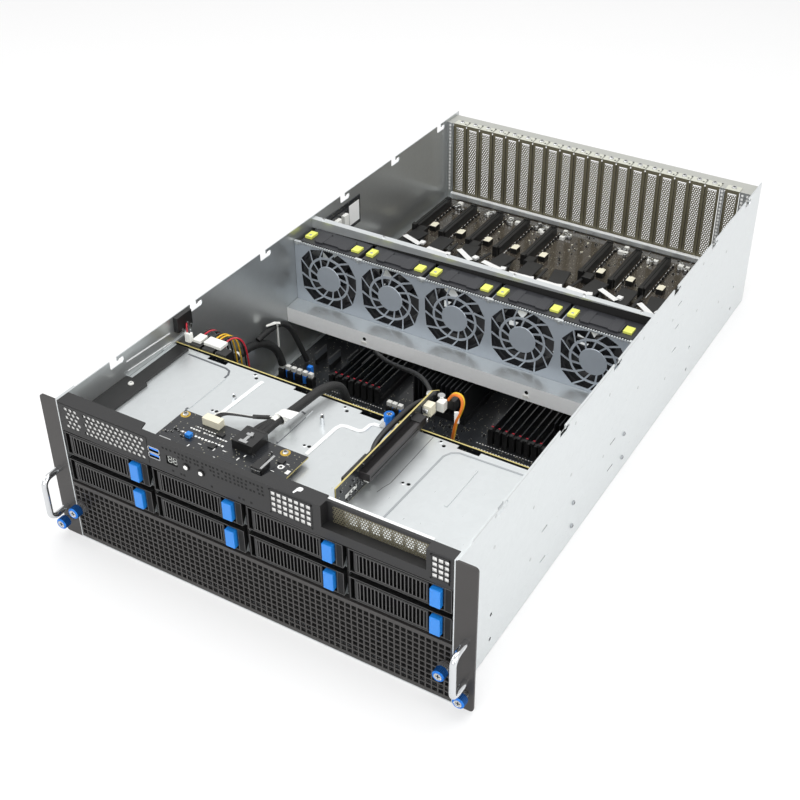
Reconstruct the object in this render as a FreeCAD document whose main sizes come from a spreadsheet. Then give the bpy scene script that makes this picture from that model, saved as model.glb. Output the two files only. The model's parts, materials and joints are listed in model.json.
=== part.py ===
import FreeCAD, Part
import math
import os

import Sketcher
from FreeCAD import Placement, Rotation, Vector

# A 4U rack server for long expansion cards, open at the top, in millimetres.
# X runs to the right seen from the front, Y to the back and Z up.
# The origin is on the underside, in the middle, in the plane of the rack's posts,
# which is the back face of the rack ears.

doc = FreeCAD.newDocument("server")
sheet = doc.addObject("Spreadsheet::Sheet", "Sizes")
nodes = []


class Size:
    """A length with its formula on the sheet. It adds and scales like a number."""

    def __init__(self, number, formula):
        self.number = number
        self.formula = formula

    def __add__(self, other):
        other = as_size(other)
        return Size(self.number + other.number, f"({self.formula} + {other.formula})")

    def __sub__(self, other):
        other = as_size(other)
        return Size(self.number - other.number, f"({self.formula} - {other.formula})")

    def __mul__(self, factor):
        return Size(self.number * factor, f"({self.formula} * {factor:.6f})")

    def __truediv__(self, factor):
        return Size(self.number / factor, f"({self.formula} / {factor:.6f})")

    def __radd__(self, other):
        return as_size(other) + self

    def __rsub__(self, other):
        return as_size(other) - self

    def __neg__(self):
        return self * -1


def as_size(value):
    """A bare number as a size."""
    if isinstance(value, Size):
        return value
    return Size(float(value), f"{float(value):.6f}")


def cell(alias, number):
    """Puts a driving dimension on the sheet and hands it back as a size."""
    row = cell.row = cell.row + 1
    sheet.set(f"A{row}", alias)
    sheet.set(f"B{row}", str(number))
    sheet.setAlias(f"B{row}", alias)
    return Size(float(number), f"Sizes.{alias}")


cell.row = 0

# Sheet metal and fits
wall = cell("wall", 1.2)
panel_sheet = cell("panel_sheet", 1.5)
ear_sheet = cell("ear_sheet", 2.0)
cage_sheet = cell("cage_sheet", 1.0)
board_sheet = cell("board_sheet", 1.6)
fit = cell("fit", 0.3)
turn_fit = cell("turn_fit", 0.05)

# Outside of the chassis
body_width = cell("body_width", 440.0)
body_depth = cell("body_depth", 800.0)
panel_height = cell("panel_height", 174.5)
ear_reach = cell("ear_reach", 21.3)
ear_hole_inset = cell("ear_hole_inset", 8.75)
ear_leg = cell("ear_leg", 25.0)
ear_corner = cell("ear_corner", 4.0)
rack_screw_height = cell("rack_screw_height", 20.5)

# Side walls
notch_width = cell("notch_width", 20.0)
notch_depth = cell("notch_depth", 10.0)
hook_length = cell("hook_length", 9.5)
hook_height = cell("hook_height", 3.6)
front_notch_place = cell("front_notch_place", 83.0)
front_notch_pitch = cell("front_notch_pitch", 127.0)
rear_notch_place = cell("rear_notch_place", 504.0)
rear_notch_pitch = cell("rear_notch_pitch", 121.0)
slit_length = cell("slit_length", 12.0)
slit_height = cell("slit_height", 2.0)
rear_slit_place = cell("rear_slit_place", 519.0)
rear_slit_low = cell("rear_slit_low", 80.0)
rear_slit_pitch = cell("rear_slit_pitch", 31.5)
front_slit_place = cell("front_slit_place", 179.0)
front_slit_low = cell("front_slit_low", 28.0)
front_slit_pitch = cell("front_slit_pitch", 40.6)
rail_hole_radius = cell("rail_hole_radius", 2.2)
rail_hole_front = cell("rail_hole_front", 69.0)
rail_hole_middle = cell("rail_hole_middle", 580.0)
rail_hole_back = cell("rail_hole_back", 741.0)
rail_hole_low = cell("rail_hole_low", 17.5)
rail_hole_rise = cell("rail_hole_rise", 32.0)

# Thumbscrews and handles
knob_radius = cell("knob_radius", 6.0)
knob_length = cell("knob_length", 9.0)
neck_radius = cell("neck_radius", 4.0)
neck_length = cell("neck_length", 5.0)
shank_radius = cell("shank_radius", 2.5)
grille_screw_inset = cell("grille_screw_inset", 8.0)
grille_screw_drop = cell("grille_screw_drop", 30.5)
handle_rod = cell("handle_rod", 3.25)
handle_low = cell("handle_low", 36.0)
handle_high = cell("handle_high", 86.0)
handle_reach = cell("handle_reach", 24.0)
handle_bend = cell("handle_bend", 9.0)

# Drive cage, trays, levers and release buttons
tray_gap = cell("tray_gap", 2.9)
tray_rise = cell("tray_rise", 33.5)
tray_drop = cell("tray_drop", 97.0)
tray_height = cell("tray_height", 26.8)
tray_rail = cell("tray_rail", 1.1)
tray_rail_height = cell("tray_rail_height", 22.0)
tray_lip = cell("tray_lip", 1.2)
tray_nose = cell("tray_nose", 13.5)
tray_back_gap = cell("tray_back_gap", 4.5)
tray_front_step = cell("tray_front_step", 0.5)
lever_depth = cell("lever_depth", 3.8)
lever_recess = cell("lever_recess", 7.2)
lever_end = cell("lever_end", 29.3)
lever_pivot = cell("lever_pivot", -45.5)
lever_hub = cell("lever_hub", 3.2)
pin_radius = cell("pin_radius", 1.2)
slat_pitch = cell("slat_pitch", 6.0)
slat_gap = cell("slat_gap", 3.6)
release_width = cell("release_width", 13.6)
release_proud = cell("release_proud", 1.0)
release_depth = cell("release_depth", 8.4)
release_travel = cell("release_travel", 2.5)
deck_drop = cell("deck_drop", 32.5)
cage_depth = cell("cage_depth", 168.0)
divider = cell("divider", 2.0)

# Front grille and front panel
grille_gap = cell("grille_gap", 3.5)
grille_return = cell("grille_return", 12.0)
grille_bar = cell("grille_bar", 6.0)
grille_first = cell("grille_first", 9.0)
panel_drop = cell("panel_drop", 35.0)
flange_depth = cell("flange_depth", 16.0)
recess_left = cell("recess_left", 86.0)
recess_right = cell("recess_right", 192.0)
recess_height = cell("recess_height", 20.5)
recess_drop = cell("recess_drop", 3.5)
recess_depth = cell("recess_depth", 10.5)
cover_left = cell("cover_left", 104.0)
vent_low = cell("vent_low", 5.0)
vent_height = cell("vent_height", 26.0)
arm_width = cell("arm_width", 27.0)
arm_neck = cell("arm_neck", 15.0)
arm_step = cell("arm_step", 93.0)
arm_end = cell("arm_end", 165.0)
arm_height = cell("arm_height", 3.0)
usb_place = cell("usb_place", -100.7)
usb_width = cell("usb_width", 13.4)
usb_height = cell("usb_height", 7.0)
usb_depth = cell("usb_depth", 17.5)
display_place = cell("display_place", -80.0)
display_width = cell("display_width", 13.0)
display_height = cell("display_height", 10.0)
button_place = cell("button_place", -63.0)
button_pitch = cell("button_pitch", 17.3)
button_drop = cell("button_drop", 18.2)
button_radius = cell("button_radius", 3.7)
button_proud = cell("button_proud", 1.2)
button_length = cell("button_length", 8.4)
button_travel = cell("button_travel", 1.0)

# Boards behind the front panel
standoff = cell("standoff", 6.0)
post_radius = cell("post_radius", 3.0)
io_board_left = cell("io_board_left", -125.0)
io_board_right = cell("io_board_right", 21.0)
io_board_back = cell("io_board_back", 73.0)
riser_place = cell("riser_place", 82.0)
riser_front = cell("riser_front", 26.0)
riser_back = cell("riser_back", 212.0)
riser_drop = cell("riser_drop", 2.5)
riser_slot_front = cell("riser_slot_front", 64.0)
riser_slot_length = cell("riser_slot_length", 100.0)
riser_slot_width = cell("riser_slot_width", 7.5)
riser_screw_left = cell("riser_screw_left", 26.0)
riser_screw_place = cell("riser_screw_place", 161.0)
backplane_gap = cell("backplane_gap", 2.0)
backplane_rise = cell("backplane_rise", 1.0)

# Fan cage, fans and rotors
fan_margin = cell("fan_margin", 6.0)
fan_side = cell("fan_side", 80.0)
fan_depth = cell("fan_depth", 34.0)
fan_bore = cell("fan_bore", 38.0)
fan_front = cell("fan_front", 393.0)
fan_shelf_drop = cell("fan_shelf_drop", 93.3)
fan_wall_drop = cell("fan_wall_drop", 14.5)
fan_cage_depth = cell("fan_cage_depth", 46.0)
beam_drop = cell("beam_drop", 2.0)
beam_lip = cell("beam_lip", 12.0)
beam_depth = cell("beam_depth", 8.0)
apron_reach = cell("apron_reach", 27.0)
apron_drop = cell("apron_drop", 6.5)
apron_height = cell("apron_height", 21.2)
guard_width = cell("guard_width", 77.0)
guard_height = cell("guard_height", 75.0)
guard_corner = cell("guard_corner", 18.0)
guard_hub = cell("guard_hub", 16.5)
guard_ring = cell("guard_ring", 27.5)
guard_wire = cell("guard_wire", 2.2)
rotor_tip = cell("rotor_tip", 36.6)
rotor_hub = cell("rotor_hub", 16.0)
rotor_length = cell("rotor_length", 19.0)
shaft_radius = cell("shaft_radius", 2.0)
blade_sheet = cell("blade_sheet", 1.6)

# Boards, coolers and power supplies at the back
mainboard_height = cell("mainboard_height", 9.0)
mainboard_front = cell("mainboard_front", 236.0)
mainboard_back = cell("mainboard_back", 596.0)
mainboard_half = cell("mainboard_half", 206.0)
memory_front = cell("memory_front", 335.0)
memory_length = cell("memory_length", 142.0)
memory_pitch = cell("memory_pitch", 9.1)
memory_width = cell("memory_width", 6.2)
memory_top = cell("memory_top", 30.0)
memory_left = cell("memory_left", -133.7)
memory_right = cell("memory_right", 79.7)
cooler_width = cell("cooler_width", 68.0)
cooler_length = cell("cooler_length", 86.0)
cooler_front = cell("cooler_front", 352.0)
cooler_gap = cell("cooler_gap", 4.0)
fin_pitch = cell("fin_pitch", 6.0)
fin_sheet = cell("fin_sheet", 1.2)
supply_width = cell("supply_width", 73.5)
supply_height = cell("supply_height", 40.0)
supply_length = cell("supply_length", 185.0)
supply_pitch = cell("supply_pitch", 76.0)
supply_first = cell("supply_first", -178.0)
card_tray_height = cell("card_tray_height", 50.0)
card_board_front = cell("card_board_front", 556.0)
card_board_half = cell("card_board_half", 210.0)
card_slot_first = cell("card_slot_first", -199.6)
card_slot_pitch = cell("card_slot_pitch", 41.2)
card_slot_front = cell("card_slot_front", 646.0)
card_slot_length = cell("card_slot_length", 92.0)
card_slot_width = cell("card_slot_width", 8.5)
card_slot_top = cell("card_slot_top", 70.0)
blank_plane = cell("blank_plane", 764.0)
blank_width = cell("blank_width", 18.4)
blank_pitch = cell("blank_pitch", 20.32)
blank_first = cell("blank_first", -198.7)
blank_last = cell("blank_last", 192.9)
blank_low = cell("blank_low", 62.0)
blank_drop = cell("blank_drop", 3.0)
blank_slot = cell("blank_slot", 11.5)
blank_slot_low = cell("blank_slot_low", 7.0)
blank_slot_drop = cell("blank_slot_drop", 5.0)
blank_tab = cell("blank_tab", 12.0)

# Places that several pieces share
front = -ear_sheet
back = front + body_depth
inner_half = body_width / 2 - wall
clear_half = inner_half - fit
rack_half = body_width / 2 + ear_reach
ear_hole_place = rack_half - ear_hole_inset
grille_screw_place = body_width / 2 - grille_screw_inset
tray_pitch = body_width / 4
tray_half = tray_pitch / 2 - tray_gap
tray_low = panel_height - tray_drop
grille_top = tray_low - grille_gap
grille_screw_height = grille_top - grille_screw_drop
deck_height = panel_height - deck_drop
panel_low = panel_height - panel_drop
recess_high = panel_height - recess_drop
recess_low = recess_high - recess_height
button_height = panel_height - button_drop
backplane_place = cage_depth + backplane_gap
backplane_top = deck_height + cage_sheet + backplane_rise
tray_length = backplane_place - tray_back_gap
riser_top = panel_height - riser_drop
fan_pitch = (body_width - fan_margin * 2) / 5
fan_shelf = panel_height - fan_shelf_drop
fan_wall_top = panel_height - fan_wall_drop
beam_top = panel_height - beam_drop
apron_low = fan_shelf - apron_height
cooler_top = apron_low - cooler_gap
blank_top = panel_height - blank_drop
deck_top = deck_height + cage_sheet
io_board_low = deck_top + standoff
io_board_top = io_board_low + board_sheet
fan_middle = fan_shelf + fit + fan_side / 2
mainboard_top = mainboard_height + board_sheet
card_board_low = card_tray_height + wall + standoff
card_board_top = card_board_low + board_sheet
columns = [-1.5, -0.5, 0.5, 1.5]
rows = [1, 0]


def block(name, x, y, z):
    """A block between two places on each axis."""
    solid = doc.addObject("Part::Box", name)
    for axis, (low, high), side in zip("xyz", (x, y, z), ("Length", "Width", "Height")):
        low = as_size(low)
        high = as_size(high)
        solid.setExpression(f"Placement.Base.{axis}", low.formula)
        solid.setExpression(side, (high - low).formula)
    return solid


TURNS = {
    "x": Rotation(Vector(0, 1, 0), 90),
    "y": Rotation(Vector(1, 0, 0), -90),
    "z": Rotation(),
}


def rod(name, axis, at, radius, length):
    """A round bar that starts at a point and runs along an axis."""
    solid = doc.addObject("Part::Cylinder", name)
    solid.Placement = Placement(Vector(), TURNS[axis])
    for letter, place in zip("xyz", at):
        solid.setExpression(f"Placement.Base.{letter}", as_size(place).formula)
    solid.setExpression("Radius", as_size(radius).formula)
    solid.setExpression("Height", as_size(length).formula)
    return solid


def hex_post(name, x, y, low, high):
    """An upright hexagonal spacer."""
    solid = doc.addObject("Part::Prism", name)
    solid.Polygon = 6
    solid.setExpression("Circumradius", post_radius.formula)
    solid.setExpression("Height", (as_size(high) - low).formula)
    for letter, place in zip("xyz", (x, y, low)):
        solid.setExpression(f"Placement.Base.{letter}", as_size(place).formula)
    return solid


def drum(name, x, z, start, radius, length, sides):
    """A many-sided round form that runs back along Y from a place."""
    solid = doc.addObject("Part::Prism", name)
    solid.Polygon = sides
    solid.Placement = Placement(Vector(), TURNS["y"])
    solid.setExpression("Circumradius", as_size(radius).formula)
    solid.setExpression("Height", as_size(length).formula)
    for letter, place in zip("xyz", (x, start, z)):
        solid.setExpression(f"Placement.Base.{letter}", as_size(place).formula)
    return solid


def fuse(name, solids):
    """One solid from several that touch."""
    joined = doc.addObject("Part::MultiFuse", name)
    joined.Shapes = solids
    joined.Refine = True
    return joined


def group(name, solids):
    """Separate solids that share one node."""
    compound = doc.addObject("Part::Compound", name)
    compound.Links = solids
    return compound


def cut(name, base, tools):
    """A solid less its cuts."""
    tool = tools[0] if len(tools) == 1 else group(name + "_cuts", tools)
    less = doc.addObject("Part::Cut", name)
    less.Base = base
    less.Tool = tool
    return less


def node(solid, label):
    """Marks a finished sub-part, whose label names its file."""
    solid.Label = label
    nodes.append(solid)
    return solid


def new_body(name, x=0, y=0, z=0):
    """A body with its place bound to the sheet."""
    body = doc.addObject("PartDesign::Body", name)
    for axis, place in zip("xyz", (x, y, z)):
        body.setExpression(f"Placement.Base.{axis}", as_size(place).formula)
    return body


def origin_of(body, role):
    """One of the planes or axes of a body's own origin."""
    return next(f for f in body.Origin.OriginFeatures if f.Role == role)


def new_sketch(body, name, plane, offset=0):
    """A sketch on one of its body's origin planes."""
    sketch = body.newObject("Sketcher::SketchObject", name)
    sketch.AttachmentSupport = [(origin_of(body, plane), "")]
    sketch.MapMode = "FlatFace"
    sketch.setExpression("AttachmentOffset.Base.z", as_size(offset).formula)
    return sketch


def outline(sketch, corners):
    """A closed outline of straight lines, with each corner bound to the sheet."""
    first = sketch.GeometryCount
    count = len(corners)
    corners = [(as_size(x), as_size(y)) for x, y in corners]
    for index in range(count):
        ends = [corners[index], corners[(index + 1) % count]]
        points = [Vector(x.number, y.number, 0) for x, y in ends]
        sketch.addGeometry(Part.LineSegment(*points), False)
    for index in range(count):
        following = first + (index + 1) % count
        sketch.addConstraint(Sketcher.Constraint("Coincident", first + index, 2, following, 1))
    for index, (x, y) in enumerate(corners):
        for kind, place in (("DistanceX", x), ("DistanceY", y)):
            rule = Sketcher.Constraint(kind, -1, 1, first + index, 1, place.number)
            number = sketch.addConstraint(rule)
            sketch.setExpression(f"Constraints[{number}]", place.formula)


def rectangle(sketch, x, y):
    """A rectangle between two places on each axis of the sketch."""
    outline(sketch, [(x[0], y[0]), (x[1], y[0]), (x[1], y[1]), (x[0], y[1])])


def circle(sketch, x, y, radius):
    """A circle with its centre and radius bound to the sheet."""
    x, y, radius = as_size(x), as_size(y), as_size(radius)
    ring = Part.Circle(Vector(x.number, y.number, 0), Vector(0, 0, 1), radius.number)
    index = sketch.addGeometry(ring, False)
    for kind, place in (("DistanceX", x), ("DistanceY", y)):
        rule = Sketcher.Constraint(kind, -1, 1, index, 3, place.number)
        number = sketch.addConstraint(rule)
        sketch.setExpression(f"Constraints[{number}]", place.formula)
    number = sketch.addConstraint(Sketcher.Constraint("Radius", index, radius.number))
    sketch.setExpression(f"Constraints[{number}]", radius.formula)


def pad(body, sketch, length, backwards=False, both_ways=False):
    """Material from a sketch."""
    feature = body.newObject("PartDesign::Pad", sketch.Name + "_pad")
    feature.Profile = sketch
    feature.setExpression("Length", as_size(length).formula)
    feature.Reversed = backwards
    feature.Midplane = both_ways
    sketch.Visibility = False
    return feature


def pocket(body, sketch, length, backwards=False, both_ways=False):
    """A cut from a sketch."""
    feature = body.newObject("PartDesign::Pocket", sketch.Name + "_pocket")
    feature.Profile = sketch
    feature.setExpression("Length", as_size(length).formula)
    feature.Reversed = backwards
    feature.Midplane = both_ways
    sketch.Visibility = False
    return feature


def row(body, feature, axis, pitch, count):
    """Repeats a feature in a row along an axis of the body."""
    pattern = body.newObject("PartDesign::LinearPattern", feature.Name + "_row")
    pattern.Originals = [feature]
    pattern.Direction = (origin_of(body, axis), [""])
    pattern.setExpression("Length", (as_size(pitch) * (count - 1)).formula)
    pattern.Occurrences = count
    body.Tip = pattern
    return pattern


def grid(body, feature, pitch, count, rise, rows_up):
    """Repeats a feature in rows along X and up Z."""
    pattern = body.newObject("PartDesign::MultiTransform", feature.Name + "_grid")
    steps = []
    for axis, spacing, number in (("X_Axis", pitch, count), ("Z_Axis", rise, rows_up)):
        step = body.newObject("PartDesign::LinearPattern", feature.Name + "_" + axis)
        step.Direction = (origin_of(body, axis), [""])
        step.setExpression("Length", (as_size(spacing) * (number - 1)).formula)
        step.Occurrences = number
        steps.append(step)
    pattern.Originals = [feature]
    pattern.Transformations = steps
    body.Tip = pattern
    return pattern


def chassis_shell():
    """Base plate and side walls, folded from one sheet, with the lid's hook notches."""
    body = new_body("shell", y=front)
    half = body_width / 2
    profile = new_sketch(body, "shell_profile", "XZ_Plane")
    outline(profile, [
        (-half, 0), (half, 0), (half, panel_height), (inner_half, panel_height),
        (inner_half, wall), (-inner_half, wall), (-inner_half, panel_height),
        (-half, panel_height)])
    pad(body, profile, body_depth, backwards=True)
    across = body_width + wall
    notch_low = panel_height - notch_depth
    for place, pitch, name in ((front_notch_place, front_notch_pitch, "front_notch"),
                               (rear_notch_place, rear_notch_pitch, "rear_notch")):
        notch = new_sketch(body, name, "YZ_Plane")
        start = place - front - notch_width / 2
        end = start + notch_width
        tip = end - hook_length
        hook_low = panel_height - hook_height
        outline(notch, [
            (start, panel_height + wall), (start, notch_low + wall), (start + wall, notch_low),
            (end - wall * 2, notch_low), (end, notch_low + wall * 2), (end, hook_low - wall),
            (end - wall, hook_low), (tip + wall * 2, hook_low), (tip + wall * 2, hook_low - wall),
            (tip, hook_low - wall), (tip, panel_height + wall)])
        row(body, pocket(body, notch, across, both_ways=True), "Y_Axis", pitch, 3)
    for place, low, pitch, count, name in (
            (rear_slit_place, rear_slit_low, rear_slit_pitch, 3, "rear_slit"),
            (front_slit_place, front_slit_low, front_slit_pitch, 2, "front_slit")):
        slit = new_sketch(body, name, "YZ_Plane")
        start = place - front - slit_length / 2
        rectangle(slit, (start, start + slit_length), (low, low + slit_height))
        row(body, pocket(body, slit, across, both_ways=True), "Z_Axis", pitch, count)
    holes = new_sketch(body, "rail_holes", "YZ_Plane")
    for place in (rail_hole_front, rail_hole_middle, rail_hole_back):
        circle(holes, place - front, rail_hole_low, rail_hole_radius)
    row(body, pocket(body, holes, across, both_ways=True), "Z_Axis", rail_hole_rise, 2)
    node(body, "chassis_shell")


def rack_ear(side):
    """An ear folded to an L, with its leg on the outside of the wall."""
    body = new_body(f"ear_{'left' if side < 0 else 'right'}")
    inside = body_width / 2 + turn_fit
    outside = rack_half
    profile = new_sketch(body, body.Name + "_profile", "XY_Plane")
    corners = [
        (inside, front), (outside, front), (outside, 0), (inside + ear_sheet, 0),
        (inside + ear_sheet, ear_leg), (inside, ear_leg)]
    outline(profile, [(x * side, y) for x, y in corners])
    pad(body, profile, panel_height)
    hole = new_sketch(body, body.Name + "_hole", "XZ_Plane")
    circle(hole, ear_hole_place * side, rack_screw_height, shank_radius + turn_fit)
    ear_hole = pocket(body, hole, ear_sheet * 4, both_ways=True)
    doc.recompute()
    far = rack_half.number - 0.01
    edges = [
        f"Edge{index}" for index, edge in enumerate(ear_hole.Shape.Edges, 1)
        if abs(edge.CenterOfMass.x) > far and abs(edge.CenterOfMass.y + 1) < 0.01
        and edge.Length < 2 * ear_sheet.number]
    rounding = body.newObject("PartDesign::Fillet", body.Name + "_corners")
    rounding.Base = (ear_hole, edges)
    rounding.setExpression("Radius", ear_corner.formula)
    return body


def front_handle(side):
    """A pull handle bent from round bar, with two quarter bends."""
    name = f"handle_{'left' if side < 0 else 'right'}"
    x = ear_hole_place * side
    bar_y = front - handle_reach
    bend_y = bar_y + handle_bend
    ends = ((handle_low, handle_low + handle_bend, 180), (handle_high,
            handle_high - handle_bend, 90))
    parts = [rod(name + "_bar", "z", (x, bar_y, handle_low + handle_bend), handle_rod,
                 handle_high - handle_low - handle_bend * 2)]
    for index, (level, centre, first) in enumerate(ends):
        parts.append(rod(f"{name}_leg_{index}", "y", (x, bend_y, level), handle_rod,
                         handle_reach - handle_bend))
        corner = doc.addObject("Part::Torus", f"{name}_bend_{index}")
        corner.Placement = Placement(Vector(), Rotation(Vector(0, 1, 0), Vector(0, 0, 1),
                                                        Vector(1, 0, 0), "ZXY"))
        for letter, place in zip("xyz", (x, bend_y, centre)):
            corner.setExpression(f"Placement.Base.{letter}", as_size(place).formula)
        corner.setExpression("Radius1", handle_bend.formula)
        corner.setExpression("Radius2", handle_rod.formula)
        corner.Angle3 = 90
        corner.Placement.Rotation = corner.Placement.Rotation.multiply(
            Rotation(Vector(0, 0, 1), first))
        parts.append(corner)
    return fuse(name, parts)


def thumbscrew(name, place, height, plate, base):
    """A captive thumbscrew: knob, neck and a shank that goes through the plate."""
    body = new_body(name, x=place, y=base, z=height)
    profile = new_sketch(body, name + "_profile", "XY_Plane")
    neck_end = -neck_length
    knob_end = neck_end - knob_length
    shank_end = plate + neck_length
    outline(profile, [
        (0, knob_end), (knob_radius - 1, knob_end), (knob_radius, knob_end + 1),
        (knob_radius, neck_end), (neck_radius, neck_end), (neck_radius, -fit),
        (shank_radius, -fit), (shank_radius, shank_end), (0, shank_end)])
    turned = body.newObject("PartDesign::Revolution", name + "_turned")
    turned.Profile = profile
    turned.ReferenceAxis = (profile, ["V_Axis"])
    turned.Angle = 360
    body.Tip = turned
    return body


def front_grille():
    """The pierced lower front, held by two thumbscrews."""
    body = new_body("grille", y=front)
    low = wall + fit
    face = new_sketch(body, "grille_profile", "YZ_Plane")
    outline(face, [
        (0, low), (panel_sheet, low), (panel_sheet, grille_top - panel_sheet),
        (grille_return, grille_top - panel_sheet), (grille_return, grille_top),
        (0, grille_top)])
    pad(body, face, clear_half * 2, both_ways=True)
    screws = new_sketch(body, "grille_screw_holes", "XZ_Plane")
    for side in (-1, 1):
        circle(screws, grille_screw_place * side, grille_screw_height,
               shank_radius + turn_fit)
    pocket(body, screws, panel_sheet * 4, both_ways=True)
    hole = new_sketch(body, "grille_hole", "XZ_Plane")
    count, rows_up = 13, 3
    across = (grille_screw_place - neck_radius - grille_bar) * 2
    pitch = (across + grille_bar) / count
    rise = (grille_top - grille_first - grille_bar + grille_bar) / rows_up
    left = -across / 2
    rectangle(hole, (left, left + pitch - grille_bar),
              (grille_first, grille_first + rise - grille_bar))
    pierced = pocket(body, hole, panel_sheet * 2, both_ways=True)
    grid(body, pierced, pitch, count, rise, rows_up)
    node(body, "front_grille")


def vent_window(name, left, right):
    """A window in the front panel that a pierced sheet fills."""
    low = panel_low + vent_low
    return block(name, (left, right), (front - fit, front + panel_sheet + fit),
                 (low, low + vent_height))


def front_panel():
    """The strip above the trays, with its flange, card recess and the arm on the left."""
    high = panel_height
    behind = front + panel_sheet
    strip = block("panel_strip", (-clear_half, clear_half), (front, behind),
                  (panel_low, high))
    flange_left = block("panel_flange", (-clear_half, recess_left - panel_sheet),
                        (behind, front + flange_depth), (high - panel_sheet, high))
    flange_right = block("panel_flange_right", (recess_left - panel_sheet, clear_half),
                         (behind, front + recess_depth + panel_sheet),
                         (high - panel_sheet, high))
    recess = [
        block("recess_side_left", (recess_left - panel_sheet, recess_left),
              (behind, front + recess_depth + panel_sheet), (recess_low, high)),
        block("recess_side_right", (recess_right, recess_right + panel_sheet),
              (behind, front + recess_depth + panel_sheet), (recess_low, high)),
        block("recess_floor", (recess_left - panel_sheet, recess_right + panel_sheet),
              (behind, front + recess_depth + panel_sheet),
              (recess_low - panel_sheet, recess_low)),
        block("recess_back", (recess_left, cover_left - fit),
              (front + recess_depth, front + recess_depth + panel_sheet),
              (recess_low, high))]
    arm_low = deck_top + fit
    arm = [
        block("arm_root", (-clear_half, -clear_half + arm_width), (behind, arm_step),
              (arm_low, arm_low + arm_height)),
        block("arm_tip", (-clear_half + arm_neck / 2, -clear_half + arm_neck * 1.5),
              (arm_step, arm_end), (arm_low, arm_low + arm_height))]
    solid = fuse("panel_solid", [strip, flange_left, flange_right] + recess + arm)
    through = (front - fit, behind + fit)
    cuts = [
        block("recess_mouth", (recess_left, recess_right), through,
              (recess_low, recess_high)),
        block("display_window", (display_place - display_width / 2,
                                 display_place + display_width / 2), through,
              (button_height - display_height / 2, button_height + display_height / 2))]
    for level in range(2):
        low = io_board_top + usb_height * level + 1
        cuts.append(block(f"usb_window_{level}",
                          (usb_place - usb_width / 2 + 1, usb_place + usb_width / 2 - 1),
                          through, (low, low + usb_height - 2)))
    for index in range(2):
        cuts.append(rod(f"button_hole_{index}", "y",
                        (button_place + button_pitch * index, front - 1, button_height),
                        button_radius + fit, panel_sheet + 2))
    cuts.append(vent_window("vent_corner", -212, -192))
    cuts.append(vent_window("vent_left", -187, -109))
    cuts.append(vent_window("vent_middle", 32, 76))
    cuts.append(vent_window("vent_right", 197, 214))
    node(cut("panel", solid, cuts), "front_io_panel")


def push_button(index, label):
    """A round push button in its hole in the front panel."""
    start = front - button_proud
    place = button_place + button_pitch * index
    cap = rod(f"button_cap_{index}", "y", (place, start, button_height), button_radius,
              button_length)
    node(cap, label)


def tray_centre(number):
    """The middle of a tray on X and its underside on Z."""
    column = columns[number % 4]
    return tray_pitch * column, tray_low + tray_rise * rows[number // 4]


def drive_tray(number):
    """A drive carrier: nose with the lever's recess, side rails and cross bars."""
    x, z = tray_centre(number)
    nose = front + tray_front_step
    nose_back = nose + tray_nose
    inside = (z + tray_lip, z + tray_height - tray_lip)
    name = f"tray_{number}"
    solid = block(name + "_nose", (x - tray_half, x + tray_half), (nose, nose_back),
                  (z, z + tray_height))
    release_left = x + lever_end + fit * 3
    release_right = release_left + release_width + fit * 2
    cuts = [
        block(name + "_recess", (x - tray_half + panel_sheet, release_right),
              (nose - 1, nose + lever_recess), inside),
        block(name + "_release", (release_left, release_right),
              (nose, nose + lever_recess + release_travel + fit), inside),
        block(name + "_window", (x + lever_pivot + lever_hub * 2, x + lever_end - 3),
              (nose, nose_back + 1), (z + 4, z + tray_height - 4))]
    hollow = cut(name + "_hollow", solid, cuts)
    rail_z = (z, z + tray_rail_height)
    parts = [hollow]
    for side in (-1, 1):
        outer = x + tray_half * side
        inner = x + (tray_half - tray_rail) * side
        span = (outer, inner) if side < 0 else (inner, outer)
        parts.append(block(f"{name}_rail_{side + 1}", span,
                           (nose_back, tray_length), rail_z))
    for place in (60, 120):
        parts.append(block(f"{name}_bar_{place}", (x - tray_half, x + tray_half),
                           (place, place + 14), (z, z + tray_rail)))
    parts.append(rod(name + "_pin", "z",
                     (x + lever_pivot, front + lever_depth + 0.4, z + tray_lip / 2),
                     pin_radius, tray_height - tray_lip))
    node(fuse(name, parts), f"drive_tray_{number + 1}")


def tray_lever(number):
    """The slatted lever across a tray's nose, on its upright pin."""
    x, z = tray_centre(number)
    name = f"lever_{number}"
    body = new_body(name, x=x, y=front, z=z + tray_lip + fit)
    height = tray_height - (tray_lip + fit) * 2
    depth = lever_depth
    pin_y = depth + 0.4
    plate = new_sketch(body, name + "_plate", "XY_Plane")
    outline(plate, [
        (lever_pivot, 0.6), (lever_pivot + 1, 0), (lever_end - 1, 0), (lever_end, 1),
        (lever_end, depth), (lever_pivot, depth)])
    pad(body, plate, height)
    hub = new_sketch(body, name + "_hub", "XY_Plane")
    circle(hub, lever_pivot, pin_y, lever_hub)
    pad(body, hub, height)
    bore = new_sketch(body, name + "_bore", "XY_Plane")
    circle(bore, lever_pivot, pin_y, pin_radius + turn_fit)
    pocket(body, bore, height * 3, both_ways=True)
    slot = new_sketch(body, name + "_slot", "XZ_Plane")
    count = 11
    first = lever_end - 3 - slat_pitch * (count - 1) - slat_gap
    rectangle(slot, (first, first + slat_gap), (2.4, height - 2.4))
    opened = pocket(body, slot, depth * 3, both_ways=True)
    row(body, opened, "X_Axis", slat_pitch, count)
    node(body, f"tray_lever_{number + 1}")


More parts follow.
